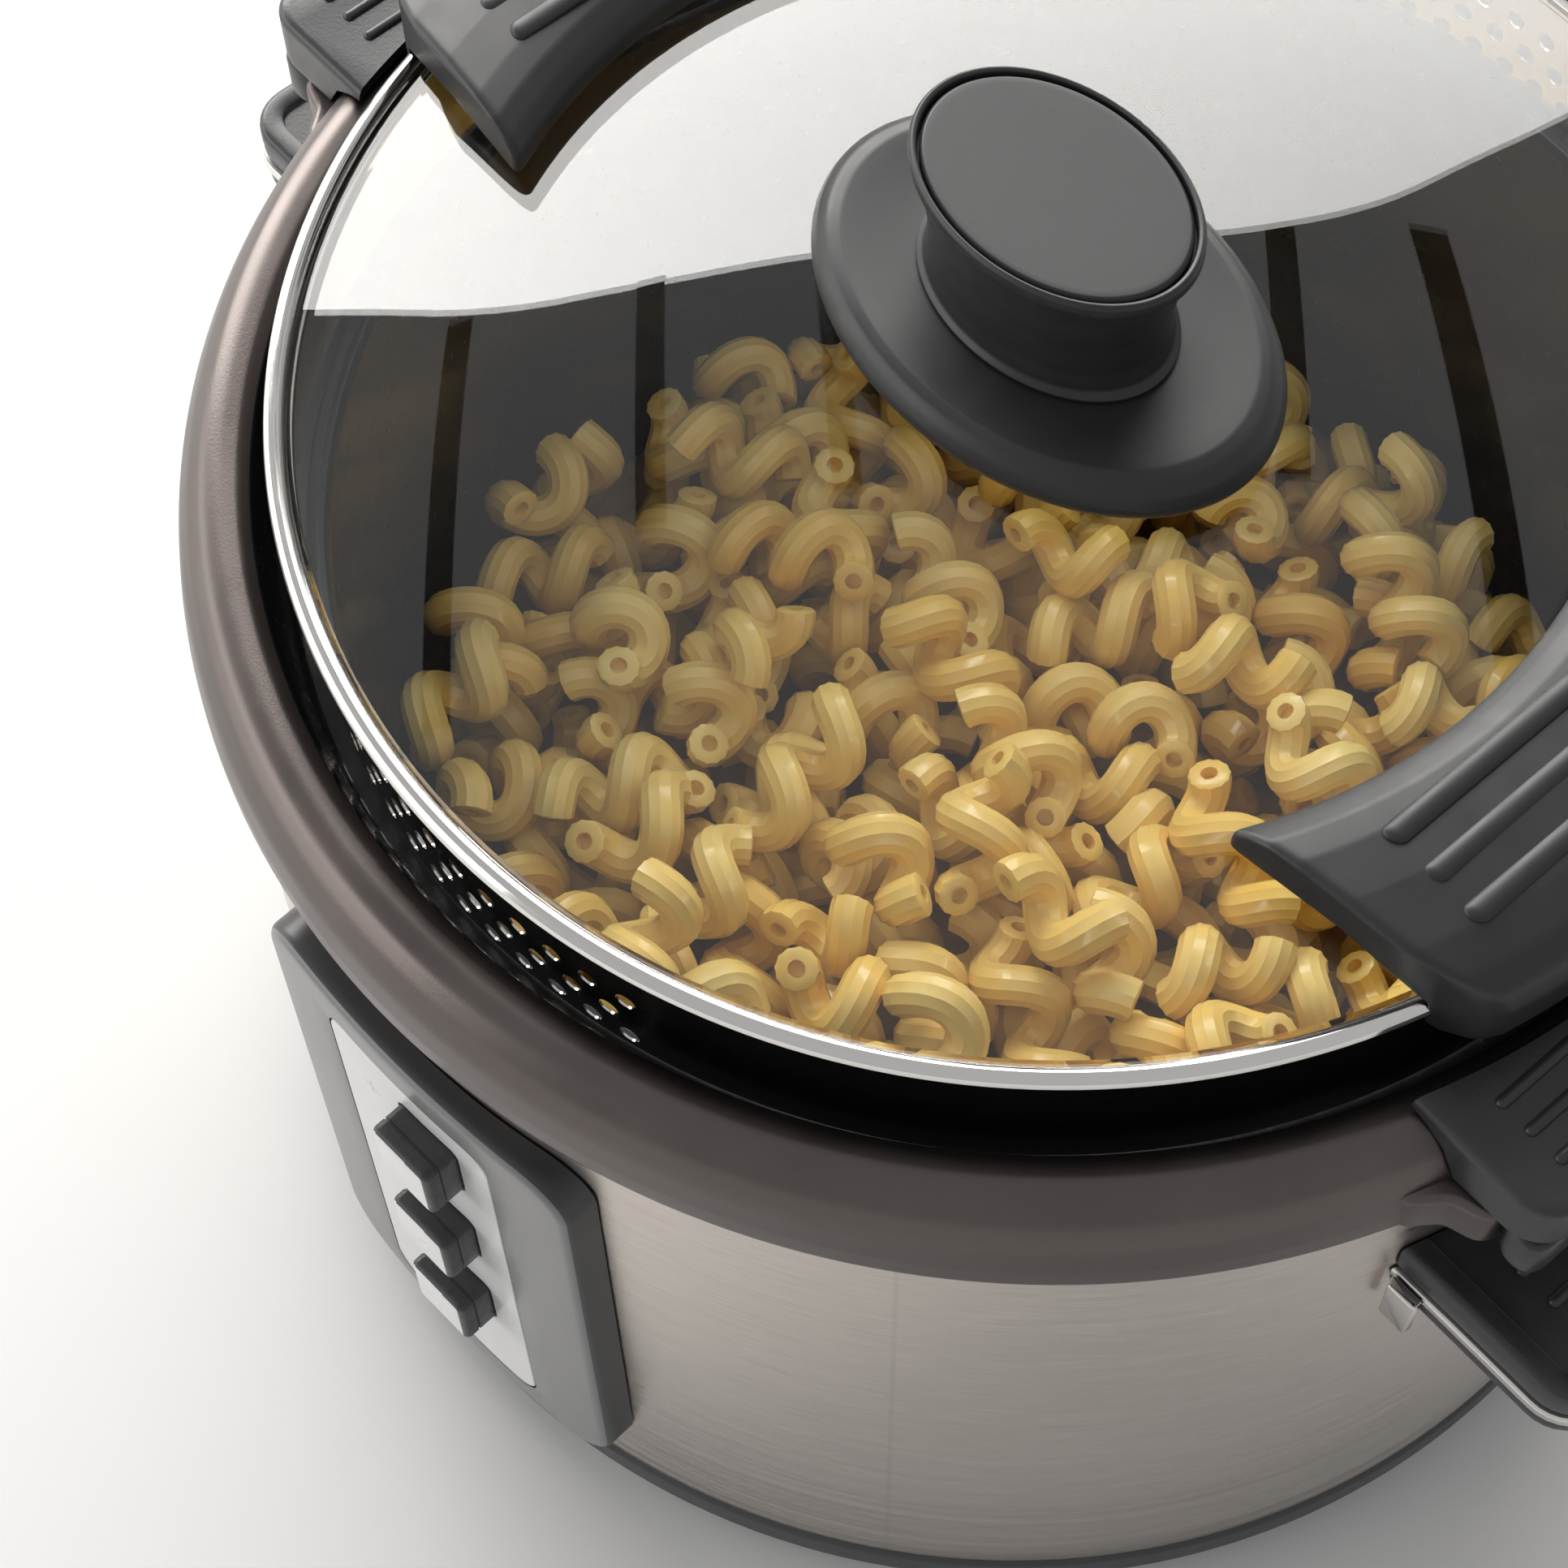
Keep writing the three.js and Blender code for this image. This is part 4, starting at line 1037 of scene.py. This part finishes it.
def make_lid():
    inner = SKIRT_R - SKIRT_T
    skirt = turned("lid_skirt", [
        (inner, LEDGE_Z + 0.5), (SKIRT_R, LEDGE_Z + 0.5), (SKIRT_R, 180), (SKIRT_R, 193.4),
        (inner, 193.4), (inner, 180)], [POLISHED], sides=240)
    values = {"Radius": (SKIRT_R - SKIRT_T / 2) * MM, "Hole": HOLE_D / 2 * MM,
              "Pitch": HOLE_PITCH, "Row Step": HOLE_ROW_STEP * MM,
              "First Row": HOLE_FIRST_Z * MM, "Columns": HOLE_COLUMNS, "Rows": HOLE_ROWS,
              "Material": POLISHED}
    skirt = grown("lid_skirt_drilled", *STRAINER, values, start=skirt)
    skirt.data.shade_smooth()
    skirt.data.set_sharp_from_angle(angle=math.radians(30))
    rim = turned("lid_rim", soften([
        (inner, 193.0), (SKIRT_R, 193.2), (SKIRT_R, 196.6), (118.6, 196.9), (119.8, 197.5),
        (120.2, 198.4), (119.9, 199.4), (119.2, 200.1), (118.4, RIM_TOP), (117.6, 200.1),
        (117.1, 199.5), (116.9, 198.8), (116.9, 194.8), (115.6, 194.7), (115.4, 194.0),
        (inner, 193.8)], 0.5, 3),
        [POLISHED], sides=240)
    rim = joined(rim, skirt)
    # Painted reflection: outward faces of the skirt and of the rim's lower part get the near-black
    # steel, standing for the dark things they mirror.
    rim.data.materials.append(STEEL_PAINTED_DARK_REFLECTION)
    for face in rim.data.polygons:
        middle = face.center / MM
        outward = middle.x * face.normal.x + middle.y * face.normal.y > 0
        if outward and middle.z < 198.2 and middle.xy.length > SKIRT_R - 0.2:
            face.material_index = 1
    settle_piece(rim, "cooker", "lid_steel", "lid_ring")
    stops = [GLASS_R * (k / 24) for k in range(25)]
    below = [(r, dome_z(r) - GLASS_T) for r in stops[:-1]]
    last = GLASS_R - 0.7
    edge = [(last, dome_z(last) - GLASS_T), (GLASS_R, dome_z(last) - GLASS_T + 0.7),
            (GLASS_R, dome_z(last) - 0.7), (last, dome_z(last))]
    above = [(r, dome_z(r)) for r in reversed(stops[:-1])]
    glass = turned("lid_dome", below + edge + above, [GLASS], sides=240, sharp=20)
    settle_piece(glass, "cooker", "glass", "lid_glass")


def make_knob():
    z = dome_z(0) + 0.3
    plate = soften([
        (0, z), (40.4, z), (42.2, z + 1.4), (42.2, z + 3.0), (41.2, z + 5.2), (39.2, z + 6.9),
        (37.0, z + 7.4), (34.2, z + 7.2), (30, z + 6.8), (24, z + 6.6), (0, z + 6.6)],
        [0, 1.2, 1.5, 3, 3, 3, 3, 4, 4, 3, 0], 4)
    saucer = turned("knob_saucer", plate, [SOFT_TOUCH], sides=OVAL, ratio=KNOB_RATIO, sharp=50)
    settle_piece(saucer, "cooker", "soft_plastic", "knob_plate")
    foot = z + 6.95
    stem = soften([
        (0, foot), (23.3, foot), (23.3, foot + 0.5), (22.1, foot + 1.4), (21.4, foot + 4.6),
        (21.6, foot + 11), (23.0, foot + 18), (24.6, foot + 22), (25.3, KNOB_TOP - 2.2),
        (25.2, KNOB_TOP - 0.7), (24.6, KNOB_TOP), (23.9, KNOB_TOP - 0.3), (23.7, KNOB_TOP - 1.2),
        (23.7, KNOB_TOP - 2.6), (0, KNOB_TOP - 2.6)],
        [0, 0.3, 0.3, 1.5, 5, 10, 10, 5, 1.5, 0.8, 0.5, 0.4, 0.3, 0, 0], 4)
    column = turned("knob_column", stem, [SOFT_TOUCH], sides=OVAL, ratio=KNOB_RATIO, sharp=50)
    settle_piece(column, "cooker", "soft_plastic", "knob_stem")
    seat = KNOB_TOP - 2.3
    top = soften([
        (0, seat), (23.3, seat), (23.3, KNOB_TOP - 0.9), (22.7, KNOB_TOP - 0.35),
        (21.4, KNOB_TOP - 0.35), (15, KNOB_TOP - 0.45), (0, KNOB_TOP - 0.5)],
        [0, 0, 0.5, 0.6, 2, 8, 0], 4)
    disc = turned("knob_disc", top, [SOFT_TOUCH], sides=OVAL, ratio=KNOB_RATIO, sharp=50)
    settle_piece(disc, "cooker", "soft_plastic", "knob_insert")


def make_lid_grips():
    low = dome_z(GRIP_IN_R) + 0.6
    profile = soften([
        (88.0, low), (104, low), (121, RIM_TOP + 0.6), (121, 194.8), (122.4, 194.2), (125.4, 194.4),
        (GRIP_OUT_R, 197.4), (GRIP_OUT_R, 204), (125.6, 208.4), (122, 211), (116, 212.6),
        (106, GRIP_TOP), (98, GRIP_TOP), (93.4, 212.9), (90.2, 211.2), (88.3, 208.8)],
        [0.6, 0, 1, 0.3, 1, 1, 2, 5, 5, 6, 8, 8, 8, 4, 4, 3], 4)
    middle = np.array([(107.0, 206.5)] * len(profile))
    outline = np.array(profile)

    def width(r):
        base = 39.0 - 5.0 * (r - GRIP_IN_R) / (GRIP_OUT_R - GRIP_IN_R)
        over = max(r - 112.0, 0.0) / 15.0
        return base - 5.5 * over ** 2.2

    def ring(share, inset):
        away = outline - middle
        length = np.linalg.norm(away, axis=1, keepdims=True)
        shrunk = outline - away / length * inset
        made = []
        for r, z in shrunk:
            y = share * width(r)
            made.append((math.sqrt(r * r - y * y), y, z))
        return made

    edge = 1.6
    ends = []
    for k in range(6):
        turn = math.pi / 2 * k / 5
        ends.append((1.0 - edge / 36 * (1 - math.sin(turn)), edge * (1 - math.cos(turn))))
    walk = [(-share, inset) for share, inset in reversed(ends)]
    walk += [(share, 0.0) for share in np.linspace(-0.94, 0.94, 30)]
    walk += ends
    rings = [ring(share, inset) for share, inset in walk]
    pad = piece("grip_pad_right", *loft(rings), [SOFT_TOUCH], sharp=42)
    ribs = rib_row("grip_pad_ribs", (99.4, 0, GRIP_TOP - 0.15), (7.6, 0, -0.5), 3, 4.0, 51, 1.15,
                   SOFT_TOUCH, bend=1.0)
    pad = joined(pad, ribs)
    settle_piece(pad, "cooker", "soft_plastic", "lid_grip_right")
    settle_piece(half_turn(pad, "grip_pad_left"), "cooker", "soft_plastic", "lid_grip_left")


# ---- Pasta ----------------------------------------------------------------------------
def heap_height(x, y):
    """Top of the heap in millimetres: crowned and higher toward the front right."""
    spread = (x * x + y * y) / HEAP_R ** 2
    return HEAP_Z + HEAP_TILT * (0.55 * x - 0.83 * y) + HEAP_CROWN * (1 - spread)


def make_core():
    """The lower pasta as one lumpy mass, under the loose tubes."""
    rings = []
    count = 96
    lower = [(84, 30.4), (95, 35.2), (103, 44), (106, 60)]
    for r, z in lower:
        rings.append([(r * math.cos(2 * math.pi * i / count), r * math.sin(2 * math.pi * i / count), z)
                      for i in range(count)])
    for share in (1.0, 0.97, 0.9, 0.8, 0.7, 0.6, 0.5, 0.4, 0.3, 0.2, 0.1, 0.03):
        ring = []
        for i in range(count):
            turn = 2 * math.pi * i / count
            x, y = 106 * share * math.cos(turn), 106 * share * math.sin(turn)
            lump = 2.2 * math.sin(x / 6 + 1.3) * math.cos(y / 5.4) + 1.4 * math.sin(x / 3.7 - y / 4.1)
            ring.append((x, y, heap_height(x, y) - CORE_DROP + lump))
        rings.append(ring)
    # The mass wears the painted-shade pasta material, darker than the tubes above it.
    core = piece("pasta_below", *loft(rings), [DEEP_PASTA_PAINTED_SHADE], sharp=180)
    settle_piece(core, "cooker", "pasta", "pasta")


def cavatappi_kinds(ridges, steps_per_turn):
    """Corkscrews of different length and twist, centred on their own middle."""
    kinds = []
    recipe = np.random.default_rng(11)
    for i in range(PASTA_KINDS):
        turns = 0.95 + 0.95 * recipe.random()
        pitch = 12.5 + 3.5 * recipe.random()
        values = {"Turns": turns, "Coil Radius": (4.1 + 0.7 * recipe.random()) * MM,
                  "Length": turns * pitch * MM, "Tube Radius": (3.55 + 0.35 * recipe.random()) * MM,
                  "Ridge Depth": 0.056, "Bore": 0.48, "Wobble": 0.0013, "Seed": float(i) * 3.1,
                  "Ridges": ridges, "Steps": steps_per_turn, "Material": PASTA}
        made = grown(f"tube_{i}", *CAVATAPPI, values)
        mesh = made.data
        points = np.empty(len(mesh.vertices) * 3)
        mesh.vertices.foreach_get("co", points)
        points = points.reshape(-1, 3) / MM
        rim = 2 * ridges
        count = int((len(points) - 6 * rim) // rim)
        spine = points[:count * rim].reshape(count, rim, 3).mean(axis=1)
        centre = (points.min(axis=0) + points.max(axis=0)) / 2
        faces = [tuple(face.vertices) for face in mesh.polygons]
        kinds.append((points - centre, spine - centre, faces))
        bpy.data.objects.remove(made)
    return kinds


def turn_matrix(yaw, pitch, roll):
    return np.array(Matrix.Rotation(yaw, 3, "Z") @ Matrix.Rotation(pitch, 3, "Y")
                    @ Matrix.Rotation(roll, 3, "Z"))


def drop_places():
    """Footprint of the tube's round underside on the height grid."""
    cell = GRID_CELL
    foot = PASTA_TUBE_R - 0.35
    reach = int(foot / cell) + 1
    spots = [(i, j, math.sqrt(foot * foot - (i * i + j * j) * cell * cell))
             for i in range(-reach, reach + 1) for j in range(-reach, reach + 1)
             if (i * i + j * j) * cell * cell < foot * foot]
    return cell, *(np.array(values) for values in zip(*spots))


def heap_piece(name, placed):
    """One mesh of all the tubes in a layer, each with its own tint."""
    vertices, faces, tints = [], [], []
    for points, links, tint in placed:
        faces += [tuple(v + len(tints) for v in link) for link in links]
        tints += [tint] * len(points)
        vertices.append(points)
    mesh = bpy.data.meshes.new(name)
    mesh.from_pydata((np.concatenate(vertices) * MM).tolist(), [], faces)
    mesh.materials.append(PASTA)
    mesh.shade_smooth()
    mesh.set_sharp_from_angle(angle=math.radians(36))
    mesh.attributes.new("tint", "FLOAT", "POINT").data.foreach_set("value", tints)
    heap = bpy.data.objects.new(name, mesh)
    bpy.context.scene.collection.objects.link(heap)
    settle_piece(heap, "cooker", "pasta", "pasta")
    mesh.calc_loop_triangles()
    print(name, "triangles", len(mesh.loop_triangles))


def make_pasta():
    """Loose tubes dropped one by one, each coming to rest on what already lies there."""
    plain, fine = cavatappi_kinds(9, 13), cavatappi_kinds(12, 20)
    chance = np.random.default_rng(5)
    cell, oi, oj, oh = drop_places()
    half = int(114 / cell)
    axis = (np.arange(2 * half + 1) - half) * cell
    gx, gy = np.meshgrid(axis, axis, indexing="ij")
    ground = heap_height(gx, gy) - CORE_DROP
    layers = ([], [])
    for number in range(PASTA_COUNT):
        best = None
        upper = number >= LOWER_COUNT
        points, spine, faces = (fine if upper else plain)[int(chance.integers(len(plain)))]
        for _ in range(PLACES_TRIED):
            tilt = math.pi / 2 + chance.normal(0, 0.3)
            turn = turn_matrix(chance.uniform(0, 2 * math.pi), tilt, chance.uniform(0, 2 * math.pi))
            line = spine @ turn.T
            r, angle = DROP_R * math.sqrt(chance.random()), chance.uniform(0, 2 * math.pi)
            x, y = r * math.cos(angle), r * math.sin(angle)
            if np.hypot(line[:, 0] + x, line[:, 1] + y).max() > HEAP_EDGE:
                continue
            ci = np.rint((line[:, 0] + x) / cell).astype(int)[:, None] + half + oi
            cj = np.rint((line[:, 1] + y) / cell).astype(int)[:, None] + half + oj
            need = (ground[ci, cj] - (line[:, 2][:, None] - oh)).max()
            score = need - heap_height(x, y)
            if best is None or score < best[0]:
                best = (score, need, turn, x, y, line, ci, cj)
        if best is None:
            continue
        score, need, turn, x, y, line, ci, cj = best
        np.maximum.at(ground, (ci, cj), line[:, 2][:, None] + need + oh)
        placed = points @ turn.T + np.array([x, y, need - 0.5])
        layers[int(upper)].append((placed, faces, float(chance.random())))
    heap_piece("cavatappi_lower", layers[0])
    heap_piece("cavatappi_upper", layers[1])


# ---- Stage, light and camera ----------------------------------------------------------
def make_stage():
    mesh = bpy.data.meshes.new("floor")
    far = 9.0
    corners = [(-far, -far, 0), (far, -far, 0), (far, far, 0), (-far, far, 0)]
    mesh.from_pydata(corners, [], [(0, 1, 2, 3)])
    material, tree, shader = finish("pale_floor", (0.7, 0.697, 0.69), 0.8)
    mesh.materials.append(material)
    floor = bpy.data.objects.new("floor", mesh)
    bpy.context.scene.collection.objects.link(floor)


def lit_card(name, azimuth, near, outline, strength, fall):
    """A tall soft light facing the object; its light falls off toward one side."""
    mesh = bpy.data.meshes.new(name)
    left, right = min(x for x, _ in outline), max(x for x, _ in outline)
    mesh.from_pydata([(x, 0, z) for x, z in outline], [], [tuple(range(len(outline)))])
    turn = math.radians(azimuth)
    mesh.transform(Matrix.Rotation(turn, 4, "Z") @ Matrix.Translation((0, near, 0)))
    material = bpy.data.materials.new(name + "_light")
    material.use_nodes = True
    tree = material.node_tree
    tree.nodes.remove(tree.nodes["Principled BSDF"])
    place = put(tree, "ShaderNodeTexCoord")
    back = put(tree, "ShaderNodeMapping", {"Vector": place.outputs["Object"],
               "Rotation": (0, 0, -turn)})
    parts = put(tree, "ShaderNodeSeparateXYZ", {0: back.outputs[0]})
    share = put(tree, "ShaderNodeMapRange", {"Value": parts.outputs[0], "From Min": left,
                "From Max": right, "To Min": strength, "To Max": strength * fall})
    glow = put(tree, "ShaderNodeEmission", {0: (1.0, 0.985, 0.96, 1), 1: share.outputs[0]})
    tree.links.new(glow.outputs[0], tree.nodes["Material Output"].inputs["Surface"])
    mesh.materials.append(material)
    card = bpy.data.objects.new(name, mesh)
    bpy.context.scene.collection.objects.link(card)
    return card


def ceiling_beams(azimuth, height):
    """Dark beams under the pale ceiling; the lid glass mirrors them faintly."""
    mesh = bpy.data.meshes.new("ceiling_beams")
    corners, faces = [], []
    for across, width, near, far in ((-1.45, 0.09, 0.9, 2.6), (-0.8, 0.09, 1.4, 2.6),
                                     (-0.25, 0.08, 1.4, 2.6), (1.08, 0.1, 1.4, 2.6),
                                     (1.62, 0.14, 0.7, 2.7)):
        start = len(corners)
        lean = 0.2 if across > 1 else 0.0
        corners += [(across - width / 2 - lean / 2, near, height),
                    (across + width / 2 - lean / 2, near, height),
                    (across + width / 2 + lean / 2, far, height),
                    (across - width / 2 + lean / 2, far, height)]
        faces.append((start, start + 1, start + 2, start + 3))
    mesh.from_pydata(corners, [], faces)
    mesh.transform(Matrix.Rotation(math.radians(azimuth), 4, "Z"))
    material, tree, shader = finish("dark_beam", (0.01, 0.008, 0.007), 0.9)
    mesh.materials.append(material)
    beams = bpy.data.objects.new("ceiling_beams", mesh)
    bpy.context.scene.collection.objects.link(beams)


def make_light():
    world = bpy.data.worlds.new("soft_room")
    bpy.context.scene.world = world
    world.use_nodes = True
    tree = world.node_tree
    way = put(tree, "ShaderNodeTexCoord")
    toward = put(tree, "ShaderNodeVectorMath", {0: way.outputs["Generated"], 1: (-0.72, 0.5, 0.1)},
                 operation="DOT_PRODUCT")
    share = put(tree, "ShaderNodeMapRange", {"Value": toward.outputs["Value"], "From Min": -0.8,
                "From Max": 0.8, "To Min": 0.52, "To Max": 0.5})
    tree.links.new(share.outputs[0], tree.nodes["Background"].inputs[1])
    tree.nodes["Background"].inputs[0].default_value = (0.985, 0.99, 1.0, 1)
    corners = [(-2.5, 0.75), (-2.5, 1.9), (-1.75, 2.5), (-1.3, 2.95), (-0.7, 3.03), (0.9, 3.05),
               (1.4, 2.75), (1.72, 2.05), (1.95, 1.3), (1.95, 0.75)]
    arched = soften(corners, [0, 1, 1, 1, 1, 3, 3, 3, 3, 0], 8)
    lit_card("window_light", WINDOW_TURN, 2.5, arched, 12.0, 0.42)
    low = ((-1.5, 0.1), (-1.5, 1.3), (1.3, 1.3), (1.3, 0.1))
    lit_card("left_light", SIDE_LIGHT_TURN, 2.3, low, 3.2, 1.0)
    ceiling_beams(WINDOW_TURN, 3.0)


def make_camera():
    """Three-quarter view from high above the front right."""
    data = bpy.data.cameras.new("view")
    data.lens = 80.33
    data.sensor_width = 36.0
    data.clip_start = 0.01
    data.clip_end = 30.0
    camera = bpy.data.objects.new("view", data)
    bpy.context.scene.collection.objects.link(camera)
    right = Vector((0.65679, 0.75392, -0.01492))
    up = Vector((-0.65674, 0.58163, 0.47999))
    back = Vector((0.37055, -0.30546, 0.87715))
    place = Matrix((right, up, back)).transposed().to_4x4()
    place.translation = Vector((0.215898, -0.231834, 0.643329))
    camera.matrix_world = place
    bpy.context.scene.camera = camera


make_heater_body()
make_pot()
make_pot_handles()
make_side_handles()
make_panel()
make_buttons()
make_power_inlet()
dress_feet()
make_lid()
make_knob()
make_lid_grips()
make_core()
make_pasta()
make_stage()
make_light()
make_camera()

bpy.context.scene.view_settings.view_transform = "Standard"
